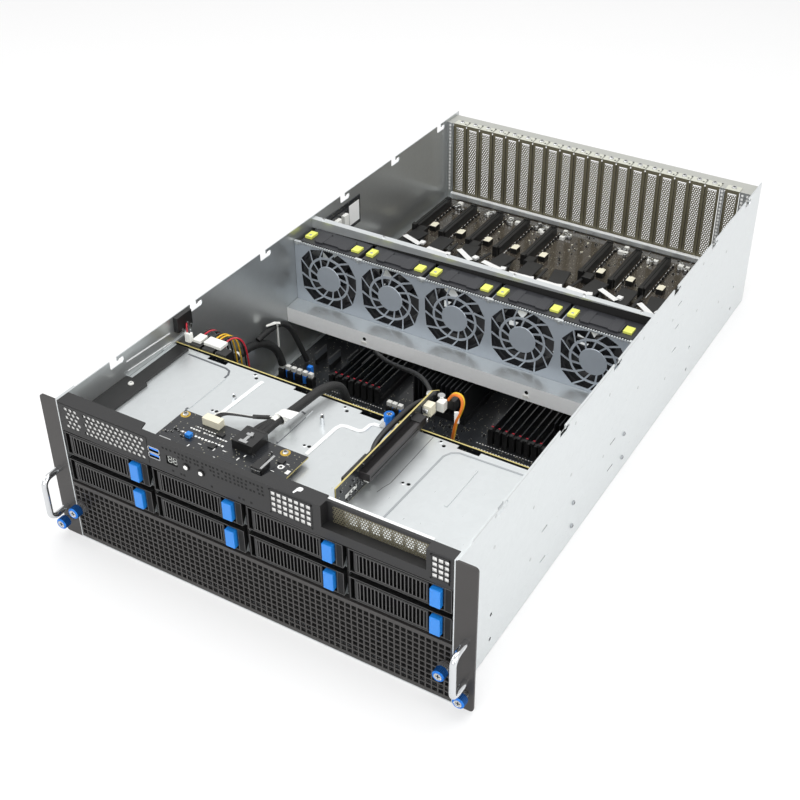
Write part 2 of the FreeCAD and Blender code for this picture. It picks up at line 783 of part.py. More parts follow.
def tray_release(number):
    """The blue button beside the lever, which lets the lever go."""
    x, z = tray_centre(number)
    name = f"release_{number}"
    left = lever_end + fit * 4
    body = new_body(name, x=x, y=front - release_proud, z=z + tray_lip + fit)
    face = new_sketch(body, name + "_face", "XY_Plane")
    right = left + release_width
    outline(face, [
        (left, 1), (left + 1, 0), (right - 1, 0), (right, 1), (right, release_depth),
        (left, release_depth)])
    pad(body, face, tray_height - (tray_lip + fit) * 2)
    dimple = new_sketch(body, name + "_dimple", "YZ_Plane", offset=left + 3)
    centre = (tray_height - (tray_lip + fit) * 2) / 2
    outline(dimple, [(-1, centre - 6), (0.8, centre), (-1, centre + 6)])
    pocket(body, dimple, release_width - 6, backwards=True)
    node(body, f"tray_release_{number + 1}")


def drive_cage():
    """Deck, shelf, floor and uprights round the eight trays."""
    half = clear_half
    depth = (front + 4, cage_depth)
    floor_low = tray_low - fit - cage_sheet
    parts = [
        block("cage_deck", (-half, half), (front + 12, cage_depth),
              (deck_height, deck_top)),
        block("cage_shelf", (-half, half), depth,
              (floor_low + tray_rise, floor_low + tray_rise + cage_sheet)),
        block("cage_floor", (-half, half), (front + 4, backplane_place + board_sheet * 3),
              (floor_low, floor_low + cage_sheet))]
    for side in (-1, 1):
        outer = half * side
        inner = (half - cage_sheet) * side
        span = (outer, inner) if side < 0 else (inner, outer)
        parts.append(block(f"cage_side_{side + 1}", span, depth, (floor_low, deck_top)))
    for place in (-1, 0, 1):
        x = tray_pitch * place
        parts.append(block(f"cage_divider_{place + 1}", (x - divider / 2, x + divider / 2),
                           depth, (floor_low, deck_top)))
    rib_low = deck_top - fit
    for index, x in enumerate((-133, -25, 161)):
        parts.append(block(f"cage_rib_{index}", (x, x + 3), (84, 143),
                           (rib_low, deck_top + 0.8)))
    cuts = []
    for index, x in enumerate((-110, 1, 111.6)):
        for level, y in enumerate((94, 160)):
            cuts.append(rod(f"deck_hole_{index}_{level}", "z",
                            (x + 6, y, deck_height - 1), 2, cage_sheet + 2))
    for index, x in enumerate((-170, -60, 20, 130)):
        cuts.append(block(f"deck_notch_{index}", (x, x + 24), (cage_depth - 5,
                          cage_depth + 1), (deck_height - 1, deck_top + 1)))
    cuts.append(rod("deck_screw_hole", "z", (riser_place - riser_screw_left,
                    riser_screw_place, deck_height - 1), shank_radius + turn_fit,
                    cage_sheet + 2))
    node(cut("cage", fuse("cage_solid", parts), cuts), "drive_cage")


def drive_backplane():
    """The board that the drives plug into, with its power sockets at the back."""
    y = backplane_place
    behind = y + board_sheet
    parts = [block("backplane_board", (-clear_half + 1, clear_half - 14.5), (y, behind),
                   (tray_low - fit, backplane_top))]
    for number in range(8):
        x, z = tray_centre(number)
        parts.append(block(f"drive_socket_{number}", (x - 38, x + 6), (y - 5.5, y),
                           (z + 5, z + 11)))
    for index in range(3):
        x = -200 + 17 * index
        parts.append(block(f"power_socket_{index}", (x, x + 14), (behind, behind + 12),
                           (backplane_top - 14, backplane_top + 3)))
    for index in range(4):
        x = -90 + 62 * index
        parts.append(block(f"data_socket_{index}", (x, x + 22), (behind, behind + 9),
                           (backplane_top - 22, backplane_top - 10)))
    node(fuse("backplane", parts), "drive_backplane")


def front_io_board():
    """The board behind the front panel, with the ports, the display and its sockets."""
    top = io_board_top
    parts = [block("io_board", (io_board_left, io_board_right), (4, io_board_back),
                   (io_board_low, top))]
    for index, x in enumerate((-120, -1)):
        for level, y in enumerate((10, 67)):
            parts.append(hex_post(f"io_post_{index}_{level}", x, y, deck_top,
                                  io_board_low))
    for level in range(2):
        low = top + usb_height * level
        shell = block(f"usb_shell_{level}", (usb_place - usb_width / 2,
                      usb_place + usb_width / 2),
                      (front + panel_sheet + fit, front + usb_depth),
                      (low, low + usb_height))
        mouth = block(f"usb_mouth_{level}", (usb_place - usb_width / 2 + 0.7,
                      usb_place + usb_width / 2 - 0.7), (front, front + usb_depth - 3),
                      (low + 1, low + usb_height - 1))
        parts.append(cut(f"usb_port_{level}", shell, [mouth]))
        parts.append(block(f"usb_tongue_{level}", (usb_place - 5, usb_place + 5),
                           (front + 4, front + usb_depth - 2), (low + 3.6, low + 5)))
    parts.append(block("display", (display_place - 8, display_place + 8),
                       (front + panel_sheet + fit, front + 9), (top, button_height + 8)))
    for index in range(2):
        place = button_place + button_pitch * index
        start = front - button_proud + button_length + button_travel + fit
        parts.append(block(f"switch_{index}", (place - 4, place + 4), (start, start + 7),
                           (top, button_height + 3)))
    parts.append(block("latched_socket", (-49, -25), (48, 73), (top, top + 10)))
    parts.append(block("cream_socket", (-96, -76), (63, 72), (top, top + 8)))
    parts.append(block("small_socket", (-11, -5), (28, 48), (top, top + 6)))
    node(fuse("io_board_solid", parts), "front_io_board")


def riser_card():
    """The upright card over the deck, with its slot and the foot of its thumbscrew."""
    x = riser_place
    low = deck_top + fit
    lift = backplane_top + fit * 4
    body = new_body("riser_board")
    card = new_sketch(body, "riser_outline", "YZ_Plane", offset=x)
    outline(card, [
        (riser_front, low), (cage_depth - 6, low), (cage_depth, lift), (riser_back, lift),
        (riser_back, riser_top - 8), (riser_back - 14, riser_top), (riser_front, riser_top)])
    pad(body, card, board_sheet)
    slot = block("riser_slot", (x + board_sheet, x + board_sheet + riser_slot_width),
                 (riser_slot_front, riser_slot_front + riser_slot_length),
                 (riser_top - 14, riser_top - 6))
    foot_x = x - riser_screw_left
    foot = block("riser_foot", (foot_x - 8, x), (riser_screw_place - 7,
                 riser_screw_place + 4), (low, low + wall))
    bore = rod("riser_foot_hole", "z", (foot_x, riser_screw_place, low - 1),
               shank_radius + turn_fit, wall + 2)
    pin_row = block("riser_pins", (x - 6, x), (riser_front + 20, riser_front + 60),
                    (riser_top - 12, riser_top - 4))
    foot = cut("riser_foot_drilled", foot, [bore])
    node(fuse("riser", [body, slot, foot, pin_row]), "riser_card")


def riser_thumbscrew():
    """The upright thumbscrew that holds the riser card's foot on the deck."""
    low = deck_top + fit + wall
    x = riser_place - riser_screw_left
    shank = rod("riser_shank", "z", (x, riser_screw_place, deck_height - 3), shank_radius,
                low + fit + 3 - deck_height)
    neck = rod("riser_neck", "z", (x, riser_screw_place, low + fit), neck_radius, 4)
    knob = rod("riser_knob", "z", (x, riser_screw_place, low + fit + 4), knob_radius - 0.5,
               knob_length)
    slot = block("riser_knob_slot", (x - knob_radius, x + knob_radius),
                 (riser_screw_place - 0.8, riser_screw_place + 0.8),
                 (low + fit + 2 + knob_length, low + fit + 5 + knob_length))
    solid = fuse("riser_screw_solid", [shank, neck, knob])
    node(cut("riser_screw", solid, [slot]), "riser_thumbscrew")


def guard_edge(angle):
    """How far the rim of a fan's finger guard is from its middle, at an angle."""
    across = abs(math.cos(angle))
    up = abs(math.sin(angle))
    reach = []
    if across > 1e-6:
        reach.append(guard_width.number / 2 / across)
    if up > 1e-6:
        reach.append(guard_height.number / 2 / up)
    corner = (guard_width.number + guard_height.number) / 2 - guard_corner.number
    reach.append(corner / (across + up))
    return min(reach)


def guard_openings(sketch, middle):
    """The openings between the swept spokes of one stamped finger guard."""
    spokes = 13
    step = 2 * math.pi / spokes
    hub, ring = guard_hub.number, guard_ring.number
    bar = guard_wire.number
    bands = [(hub, ring - bar / 2, 0.0, 0.18), (ring + bar / 2, None, 0.20, 0.42)]
    for number in range(spokes):
        for inner, outer, turn_in, turn_out in bands:
            corners = []
            for radius, turn, ends in ((inner, turn_in, (0, 1)), (outer, turn_out, (1, 0))):
                for end in ends:
                    angle = number * step + turn + end * step
                    reach = guard_edge(angle) if radius is None else radius
                    inset = (1 - 2 * end) * bar / 2 / reach
                    angle += inset
                    corners.append((reach * math.cos(angle),
                                    middle + reach * math.sin(angle)))
            points = [Vector(x, z, 0) for x, z in corners]
            for index in range(4):
                line = Part.LineSegment(points[index], points[(index + 1) % 4])
                sketch.addGeometry(line, False)


def fan_cage():
    """Fan wall with stamped finger guards, shelf, apron, dividers, back wall and beam.
    The sheets stand a fit apart, where the real ones are spot-welded."""
    sheet_y = fan_front + wall
    rear = fan_front + fan_cage_depth
    rear_in = rear - wall
    beam_front = rear - beam_depth
    shelf_low = fan_shelf - wall
    inside = (sheet_y + fit, rear_in - fit)
    across = (-clear_half, clear_half)
    body = new_body("fan_wall")
    face = new_sketch(body, "fan_wall_face", "XZ_Plane", offset=-fan_front)
    rectangle(face, across, (shelf_low, fan_wall_top))
    pad(body, face, wall, backwards=True)
    middle = fan_middle.number
    guard = new_sketch(body, "finger_guard", "XZ_Plane", offset=-(fan_front - 1))
    guard_openings(guard, middle)
    guard.setExpression("AttachmentOffset.Base.x", (fan_pitch * -2).formula)
    stamped = pocket(body, guard, wall + 2)
    row(body, stamped, "X_Axis", fan_pitch, 5)
    back_wall = new_body("fan_back_wall")
    face = new_sketch(back_wall, "fan_back_face", "XZ_Plane", offset=-rear_in)
    rectangle(face, across, (shelf_low, beam_top - wall - fit))
    pad(back_wall, face, wall, backwards=True)
    outlet = new_sketch(back_wall, "fan_outlet", "XZ_Plane", offset=-(rear_in - 1))
    side = guard_width / 2
    rise = guard_height / 2
    cut_side = side - guard_corner
    cut_rise = rise - guard_corner
    corners = [
        (side, -cut_rise), (side, cut_rise), (cut_side, rise), (-cut_side, rise),
        (-side, cut_rise), (-side, -cut_rise), (-cut_side, -rise), (cut_side, -rise)]
    outline(outlet, [(fan_pitch * -2 + x, fan_middle + z) for x, z in corners])
    opened = pocket(back_wall, outlet, wall + 2)
    row(back_wall, opened, "X_Axis", fan_pitch, 5)
    apron_y = fan_front - apron_reach
    apron_z = fan_shelf - apron_drop
    apron = new_body("fan_apron")
    fold = new_sketch(apron, "fan_apron_fold", "YZ_Plane")
    end = fan_front - fit
    outline(fold, [
        (end, fan_shelf), (apron_y, apron_z), (apron_y + 5 - wall, apron_low),
        (apron_y + 5, apron_low), (apron_y + wall, apron_z - wall), (end, shelf_low)])
    pad(apron, fold, clear_half * 2, both_ways=True)
    beam = fuse("fan_beam", [
        block("fan_beam_top", across, (beam_front, rear), (beam_top - wall, beam_top)),
        block("fan_beam_lip", across, (beam_front, beam_front + wall),
              (beam_top - beam_lip, beam_top))])
    parts = [body, back_wall, apron, beam,
             block("fan_shelf_sheet", across, inside, (shelf_low, fan_shelf))]
    for index in range(6):
        x = fan_pitch * (index - 2.5)
        parts.append(block(f"fan_divider_{index}", (x - wall / 2, x + wall / 2), inside,
                           (fan_shelf + fit, fan_wall_top - 2)))
    node(group("fan_cage", parts), "fan_cage")


def fan_module(number):
    """A fan in its plug-in frame, with the motor's post, struts and two release tabs."""
    x = fan_pitch * (number - 2)
    half = fan_side / 2
    start = fan_front + wall + fit * 6
    end = start + fan_depth
    low = fan_shelf + fit
    high = low + fan_side
    name = f"fan_{number}"
    frame = block(name + "_frame", (x - half, x + half), (start, end), (low, high))
    bore = drum(name + "_bore", x, fan_middle, start - 1, fan_bore, fan_depth + 2, 40)
    hollow = cut(name + "_hollow", frame, [bore])
    motor = drum(name + "_motor", x, fan_middle, end - 6, rotor_hub, 6, 20)
    shaft = rod(name + "_shaft", "y", (x, start + 5, fan_middle), shaft_radius,
                fan_depth - 8)
    struts = [
        block(name + "_strut_across", (x - fan_bore - 0.5, x + fan_bore + 0.5),
              (end - 5, end - 1), (fan_middle - 1.5, fan_middle + 1.5)),
        block(name + "_strut_up", (x - 1.5, x + 1.5), (end - 5, end - 1),
              (fan_middle - fan_bore - 0.5, fan_middle + fan_bore + 0.5))]
    grip = block(name + "_grip", (x - 24, x + 24), (start + 6, end - 10), (high, high + 2))
    tabs = [
        block(name + "_tab_left", (x - 39, x - 30), (start + 8, end - 12), (high, high + 3)),
        block(name + "_tab_right", (x + 26, x + 36), (start + 8, end - 14),
              (high, high + 2.5))]
    node(fuse(name, [hollow, motor, shaft, grip] + struts + tabs),
         f"fan_module_{number + 1}")


def blade_shape(start, length, root, tip, thick):
    """One twisted blade, whose corners lie on the hub's and the tip's circles."""
    rings = []
    for radius, pitch, lean in ((root, 50.0, 0.0), (tip, 28.0, 16.0)):
        chord = length / math.sin(math.radians(pitch))
        turned = Rotation(Vector(1, 0, 0), 90 - pitch)
        corners = []
        for across, along in ((-thick / 2, -chord / 2), (thick / 2, -chord / 2),
                              (thick / 2, chord / 2), (-thick / 2, chord / 2)):
            point = turned.multVec(Vector(0, along, across))
            out = math.sqrt(radius ** 2 - point.z ** 2)
            point = Vector(out, point.y + start, point.z)
            corners.append(Rotation(Vector(0, 1, 0), -lean).multVec(point))
        rings.append(corners)
    inner, outer = rings
    sides = [(inner[0], inner[1], inner[2]), (inner[0], inner[2], inner[3]),
             (outer[0], outer[1], outer[2]), (outer[0], outer[2], outer[3])]
    for index in range(4):
        following = (index + 1) % 4
        sides.append((inner[index], inner[following], outer[following]))
        sides.append((inner[index], outer[following], outer[index]))
    faces = [Part.Face(Part.makePolygon([*side, side[0]])) for side in sides]
    shell = Part.makeShell(faces)
    blade = Part.makeSolid(shell)
    if blade.Volume < 0:
        blade.reverse()
    return blade


def fan_rotor(number):
    """The fan's rotor: a cup hub with seven twisted blades, on the motor's shaft."""
    x = fan_pitch * (number - 2)
    start = fan_front + wall + fit * 6
    hub_start = start + 6
    name = f"rotor_{number}"
    hub = drum(name + "_hub", x, fan_middle, hub_start, rotor_hub, rotor_length, 28)
    bore = rod(name + "_bore", "y", (x, hub_start - 1, fan_middle), shaft_radius + turn_fit,
               rotor_length + 2)
    blades = []
    for index in range(7):
        blade = doc.addObject("Part::Feature", f"{name}_blade_{index}")
        shape = blade_shape(hub_start.number + rotor_length.number / 2,
                            rotor_length.number - 4, rotor_hub.number - 1.5,
                            rotor_tip.number, blade_sheet.number)
        shape.rotate(Vector(), Vector(0, 1, 0), 360 / 7 * index + 9 * number)
        blade.Shape = shape
        blade.Placement = Placement(Vector(x.number, 0, fan_middle.number), Rotation()) \
            .multiply(blade.Placement)
        blades.append(blade)
    node(cut(name, fuse(name + "_solid", [hub] + blades), [bore]), f"fan_rotor_{number + 1}")


def mainboard():
    """The main board with its memory sockets, card edge sockets and rear ports."""
    low, top = mainboard_height, mainboard_top
    body = new_body("mainboard_outline")
    plan = new_sketch(body, "mainboard_plan", "XY_Plane", offset=low)
    wide = mainboard_half
    outline(plan, [
        (-wide, mainboard_front), (wide, mainboard_front), (wide, back - 12),
        (30, back - 12), (30, mainboard_back), (-wide, mainboard_back)])
    pad(body, plan, board_sheet)
    parts = [body]
    for side, left in enumerate((memory_left, memory_right)):
        for number in range(8):
            x = left + memory_pitch * number
            name = f"memory_{side}_{number}"
            span = (x - memory_width / 2, x + memory_width / 2)
            end = memory_front + memory_length
            parts.append(block(name, span, (memory_front, end), (top, top + 7)))
            parts.append(block(name + "_front", span, (memory_front, memory_front + 6),
                               (top + 7, memory_top)))
    for index, x in enumerate((-199, -186, -175, -158, -47, -38)):
        parts.append(block(f"board_socket_{index}", (x - 4, x + 4), (324, 332),
                           (top, top + 12)))
    for index in range(4):
        x = 44 + 40 * index
        parts.append(block(f"rear_port_{index}", (x, x + 30), (back - 32, back - 4),
                           (top, top + 26 - 6 * (index % 2))))
    for index, x in enumerate((-190, 0, 190)):
        for level, y in enumerate((250, 580)):
            parts.append(hex_post(f"board_post_{index}_{level}", x, y, wall, low))
    node(fuse("mainboard_solid", parts), "mainboard")


def cpu_coolers():
    """Two finned coolers on the processors."""
    coolers = []
    for number, x in enumerate((4, 183)):
        left = x - cooler_width / 2
        end = cooler_front + cooler_length
        top = mainboard_top
        parts = [block(f"cooler_base_{number}", (left, left + cooler_width),
                       (cooler_front, end), (top, top + 8))]
        count = int(cooler_width.number / fin_pitch.number)
        for index in range(count + 1):
            fin = left + fin_pitch * index
            parts.append(block(f"cooler_fin_{number}_{index}", (fin, fin + fin_sheet),
                               (cooler_front, end), (top + 7, cooler_top)))
        coolers.append(fuse(f"cooler_{number}", parts))
    node(group("coolers", coolers), "cpu_coolers")


def rear_frame():
    """Card tray, rear wall with its bays, slot rail, posts and the flange on top."""
    half = clear_half
    tray = (card_tray_height, card_tray_height + wall)
    tray_front = fan_front + fan_cage_depth + 3
    wall_y = (back - wall * 2, back - wall)
    face = (blank_plane, blank_plane + wall)
    flange_top = blank_top - wall
    parts = [
        block("card_tray", (-half, half), (tray_front, wall_y[1]), tray),
        block("rear_wall", (-half, half), wall_y, (wall + fit, card_tray_height)),
        block("slot_rail", (-half, half), face, (tray[1], blank_low)),
        block("top_flange", (-half, half), (blank_plane + wall, back - 4),
              (flange_top - wall, flange_top)),
        block("left_post", (-half, blank_first - blank_pitch / 2), face, (blank_low, blank_top)),
        block("right_post", (blank_last + blank_pitch / 2, half), face, (blank_low, blank_top)),
        block("card_post", (blank_first + blank_pitch * 18.5, blank_last - blank_pitch / 2),
              face, (blank_low, blank_top))]
    cuts = []
    for number in range(3):
        x = supply_first + supply_pitch * number
        cuts.append(block(f"supply_mouth_{number}", (x - supply_width / 2 - fit,
                          x + supply_width / 2 + fit), (back - 20, back + 1),
                          (0, wall + fit * 2 + supply_height)))
    cuts.append(block("port_mouth", (40, 200), (back - 20, back + 1),
                      (mainboard_height, mainboard_height + 34)))
    node(cut("rear", fuse("rear_solid", parts), cuts), "rear_frame")


def slot_blank(number, x):
    """One slotted blank with its tab bent back over the flange."""
    name = f"blank_{number}"
    half = blank_width / 2
    low = blank_low + fit
    plate = block(name + "_plate", (x - half, x + half), (blank_plane, blank_plane + cage_sheet),
                  (low, blank_top))
    tab = block(name + "_tab", (x - half, x + half),
                (blank_plane, blank_plane + blank_tab + cage_sheet),
                (blank_top - cage_sheet, blank_top))
    window = block(name + "_window", (x - blank_slot / 2, x + blank_slot / 2),
                   (blank_plane - 1, blank_plane + 3),
                   (low + blank_slot_low, blank_top - blank_slot_drop))
    return cut(name, fuse(name + "_solid", [plate, tab]), [window])


def slot_blanks():
    """Twenty blanks in the rear wall and the long pierced one in the front recess."""
    blanks = [slot_blank(number, blank_first + blank_pitch * number) for number in range(19)]
    blanks.append(slot_blank(19, blank_last))
    cover = block("cover_plate", (cover_left, recess_right - fit),
                  (front + recess_depth, front + recess_depth + cage_sheet),
                  (recess_low + fit, recess_high))
    slots = []
    for index in range(7):
        x = cover_left + 5 + 11.4 * index
        slots.append(block(f"cover_slot_{index}", (x, x + 8),
                           (front + recess_depth - 1, front + recess_depth + 3),
                           (recess_low + 5, recess_high - 4)))
    blanks.append(cut("front_cover", cover, slots))
    node(group("blanks", blanks), "slot_blanks")


def card_board():
    """The board that the expansion cards plug into, on posts over its tray."""
    low, top = card_board_low, card_board_top
    wide = card_board_half
    parts = [block("card_board_sheet", (-wide, wide), (card_board_front, blank_plane - 6),
                   (low, top))]
    for number in (0, 1, 2, 3, 4, 6, 7, 8, 9):
        x = card_slot_first + card_slot_pitch * number
        parts.append(block(f"card_slot_{number}",
                           (x - card_slot_width / 2, x + card_slot_width / 2),
                           (card_slot_front, card_slot_front + card_slot_length),
                           (top, card_slot_top)))
        parts.append(block(f"card_socket_{number}", (x + 14, x + 23), (659, 671),
                           (top, top + 8)))
    for index, x in enumerate((-205, -70, 70, 205)):
        for level, y in enumerate((566, 745)):
            parts.append(hex_post(f"card_post_{index}_{level}", x, y,
                                  card_tray_height + wall, low))
    node(fuse("card_board", parts), "card_board")


def power_supply(number):
    """A plug-in power supply with its fan mouth, inlet, pull handle and latch."""
    x = supply_first + supply_pitch * number
    half = supply_width / 2
    low = wall + fit
    high = low + supply_height
    end = back - wall
    start = end - supply_length
    name = f"supply_{number}"
    case = block(name + "_case", (x - half, x + half), (start, end), (low, high))
    fan = rod(name + "_fan", "y", (x - 16, end - 12, low + 20), 17, 13)
    inlet = block(name + "_inlet", (x + 8, x + 32), (end - 14, end + 1), (low + 20, low + 35))
    hollow = cut(name + "_hollow", case, [fan, inlet])
    hub = rod(name + "_hub", "y", (x - 16, end - 13, low + 20), 6, 12)
    bars = [
        block(name + "_bar_across", (x - 33.5, x + 1.5), (end - 2, end), (low + 19, low + 21)),
        block(name + "_bar_up", (x - 17, x - 15), (end - 2, end), (low + 2.5, low + 37.5))]
    prongs = [
        block(f"{name}_prong_{index}", (x + 12 + 7 * index, x + 13 + 7 * index),
              (end - 15, end - 4), (low + 24, low + 31)) for index in range(3)]
    grip = [
        block(name + "_grip_left", (x + 7, x + 10), (end, end + 22), (low + 3, low + 13)),
        block(name + "_grip_right", (x + 31, x + 34), (end, end + 22), (low + 3, low + 13)),
        block(name + "_grip_bar", (x + 7, x + 34), (end + 19, end + 22), (low + 3, low + 13))]
    node(fuse(name, [hollow, hub] + bars + prongs + grip), f"power_supply_{number + 1}")


def octagon(centre, normal, radius):
    """An eight-sided section across a cable."""
    turn = Rotation(Vector(0, 0, 1), normal)
    corners = []
    for index in range(9):
        angle = math.pi / 8 + math.pi / 4 * index
        arm = Vector(radius * math.cos(angle), radius * math.sin(angle), 0)
        corners.append(centre + turn.multVec(arm))
    return Part.makePolygon(corners)


def tube(name, points, radius):
    """A cable along straight runs joined by tangent arcs, as round as the runs allow."""
    points = [Vector(*point) for point in points]
    edges = []
    here = points[0]
    radii = []
    for before, corner, after in zip(points, points[1:], points[2:]):
        into = (corner - before).normalize()
        out = (after - corner).normalize()
        turn = into.getAngle(out)
        reach = 0.45 * min(corner.distanceToPoint(before), corner.distanceToPoint(after))
        radii.append(reach / math.tan(turn / 2))
        start = corner - into * reach
        end = corner + out * reach
        middle_way = (out - into).normalize()
        sag = radii[-1] * (1 / math.cos(turn / 2) - 1)
        edges.append(Part.LineSegment(here, start).toShape())
        edges.append(Part.Arc(start, corner + middle_way * sag, end).toShape())
        here = end
    edges.append(Part.LineSegment(here, points[-1]).toShape())
    path = Part.Wire(edges)
    section = octagon(points[0], points[1] - points[0], radius)
    shape = path.makePipeShell([section], True, False)
    expected = Part.Face(section).Area * path.Length
    if abs(shape.Volume - expected) > 0.02 * expected:
        raise ValueError(f"{name} has volume {shape.Volume:.0f}, not {expected:.0f}")
    print(name, "length", round(path.Length), "radii", [round(value, 1) for value in radii])
    cable = doc.addObject("Part::Feature", name)
    cable.Shape = shape
    return cable


def internal_cables():
    """Leads that are held at both ends: front panel, drive power, fan and card power."""
    deck = deck_top.number
    board = io_board_top.number
    behind = backplane_place.number + board_sheet.number
    edge = -inner_half.number + fit.number + 5
    card_side = riser_place.number - fit.number - 2.5
    cables = [
        tube("panel_cable", [
            (-37, 73.4, board + 5), (-36, 98, board + 3), (-33, 132, deck + 9),
            (-27, 166, deck + 11), (-14, 190, deck - 4), (-12, 194, deck - 36)], 4.0),
        tube("wall_bundle", [
            (edge, 196, 86), (edge, 246, 72), (edge, 298, 72), (-204, 325, 52),
            (-199, 328, mainboard_top.number + 14)], 5.0),
        tube("riser_lead", [
            (card_side, 190, 162), (card_side, 222, 160), (card_side - 4, 232, 120)], 2.5)]
    for index in range(3):
        x = -193 + 17 * index
        cables.append(tube(f"drive_power_{index}", [
            (x, behind + 13, 138), (x, behind + 36, 134), (x + 1, behind + 41, 96)], 3.0))
    for number in range(4):
        x = card_slot_first.number + 10.3 + 82.4 * number
        cables.append(tube(f"card_power_{number}", [
            (x, 640, card_board_top.number + 7), (x - 3, 606, card_board_top.number + 8),
            (x, 566, card_board_top.number + 5)], 4.5))
    node(group("cables", cables), "internal_cables")


def build():
    """Builds every sub-part."""
    chassis_shell()
    node(group("ears", [rack_ear(-1), rack_ear(1)]), "rack_ears")
    node(group("handles", [front_handle(-1), front_handle(1)]), "front_handles")
    front_grille()
    front_panel()
    push_button(0, "power_button")
    push_button(1, "locator_button")
    for side, word in ((-1, "left"), (1, "right")):
        node(thumbscrew(f"rack_screw_{word}", ear_hole_place * side, rack_screw_height,
                        ear_sheet, front), f"rack_thumbscrew_{word}")
        node(thumbscrew(f"grille_screw_{word}", grille_screw_place * side,
                        grille_screw_height, panel_sheet, front),
             f"grille_thumbscrew_{word}")
    drive_cage()
    for number in range(8):
        drive_tray(number)
        tray_lever(number)
        tray_release(number)
    drive_backplane()
    front_io_board()
    riser_card()
    riser_thumbscrew()
    fan_cage()
    for number in range(5):
        fan_module(number)
        fan_rotor(number)
    mainboard()
    cpu_coolers()
    rear_frame()
    slot_blanks()
    card_board()
    for number in range(3):
        power_supply(number)
    internal_cables()


def check_and_write():
    """Stops on any failed object, then writes each sub-part."""
    doc.recompute()
    for item in doc.Objects:
        if "Invalid" in item.State or "Error" in item.State:
            raise ValueError(f"{item.Name} failed: {item.State}")
    os.makedirs("parts", exist_ok=True)
    for solid in nodes:
        shape = solid.Shape
        if shape.isNull() or not shape.isValid() or not shape.Solids:
            raise ValueError(f"{solid.Label} has no valid shape")
        shape.exportStep(f"parts/{solid.Label}.step")
        print(solid.Label, len(shape.Solids), round(shape.Volume))
    print(len(nodes), "nodes")


build()
check_and_write()
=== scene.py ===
import json
import math
import random

import bmesh
import bpy
from mathutils import Matrix, Vector

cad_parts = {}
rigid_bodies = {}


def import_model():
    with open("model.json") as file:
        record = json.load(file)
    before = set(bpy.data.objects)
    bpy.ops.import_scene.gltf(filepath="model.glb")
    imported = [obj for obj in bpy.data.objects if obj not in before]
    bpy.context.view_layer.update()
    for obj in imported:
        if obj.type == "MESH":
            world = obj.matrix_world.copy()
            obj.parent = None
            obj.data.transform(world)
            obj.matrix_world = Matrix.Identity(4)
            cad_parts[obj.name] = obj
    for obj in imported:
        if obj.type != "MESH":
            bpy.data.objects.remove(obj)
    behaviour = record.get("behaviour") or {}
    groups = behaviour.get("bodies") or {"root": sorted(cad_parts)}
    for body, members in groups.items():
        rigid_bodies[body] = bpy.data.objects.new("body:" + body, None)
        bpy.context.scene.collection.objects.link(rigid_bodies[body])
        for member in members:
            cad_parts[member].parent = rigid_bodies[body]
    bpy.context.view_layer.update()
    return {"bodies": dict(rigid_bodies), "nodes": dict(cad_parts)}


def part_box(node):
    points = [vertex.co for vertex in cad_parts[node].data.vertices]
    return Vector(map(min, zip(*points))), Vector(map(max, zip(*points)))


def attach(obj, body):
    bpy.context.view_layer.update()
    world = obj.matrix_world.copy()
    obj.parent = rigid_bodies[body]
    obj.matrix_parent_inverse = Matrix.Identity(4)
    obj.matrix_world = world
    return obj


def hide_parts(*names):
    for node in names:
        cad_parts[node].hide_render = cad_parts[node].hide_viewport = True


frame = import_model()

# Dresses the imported 4U server: finishes on every CAD node, and the small pieces of it.
# Lengths in this file are millimetres, and mm() turns them to Blender's metres.

bl_info = {
    "name": "GPU server",
    "version": (1, 0, 0),
    "blender": (4, 5, 0),
    "location": "View3D > Sidebar > Server",
    "description": "Finishes and small pieces for a 4U rack server with long card slots",
    "category": "Object",
}

MM = 0.001
CASE = "chassis"
FINISHES = {}

# Upper faces of the deck, the boards and the rear flange's tabs, as the solids give them.
DECK = 142.9
FRONT_BOARD = 150.6
MAIN_BOARD = 10.6
CARD_BOARD = 58.8
TAB_TOP = 171.5
BOARD_THICK = 1.6

# The front panel's outer sheet, the walls' faces and the rear face.
PANEL_SHEET = (-2.34, -2.04)
LEFT_INSIDE = -218.8
RIGHT_OUTSIDE = 219.9
REAR_FACE = 796.8

# Pieces that stand in a row, by their middles across the server.
COLUMNS = [-165.0, -55.0, 55.0, 165.0]
TRAY_FLOORS = (111.0, 77.5)
FAN_PITCH = 85.6
FAN_AXIS = 121.5
FANS = [FAN_PITCH * (number - 2) for number in range(5)]
SEAMS = [FAN_PITCH * (number - 2.5) for number in range(6)]
FIRST_SLOT = -199.6
SLOT_PITCH = 41.2
SLOTS = [FIRST_SLOT + SLOT_PITCH * number for number in (0, 1, 2, 3, 4, 6, 7, 8, 9)]
BLANKS = [-198.7 + 20.32 * number for number in range(19)] + [192.9]
SUPPLIES = (-178.0, -102.0, -26.0)
WALL_SCREWS = [(248, 51), (249, 19), (379, 52), (381, 18)]

# Turns that make a small piece face right or back.
RIGHT = (0.0, math.pi / 2, 0.0)
BACK = (-math.pi / 2, 0.0, 0.0)

# Turns a form that is made along Z, so that it runs along the named axis.
RUNS = {"x": Matrix.Rotation(math.pi / 2, 4, "Y"),
        "y": Matrix.Rotation(-math.pi / 2, 4, "X"), "z": Matrix.Identity(4)}

# A knurl has this many sides, every other one this much lower, outside a plain core.
KNURL = {"sides": 48, "ridge": 0.42}
KNURL_CORE = 3.0

# In a six-sided pattern the rows stand closer than the pitch, by the first number, and
# a cell's corner is the pitch divided by the second from its middle.
HEX_RISE = 0.866
HEX_CORNER = 1.732
HEX_TURN = math.pi / 6

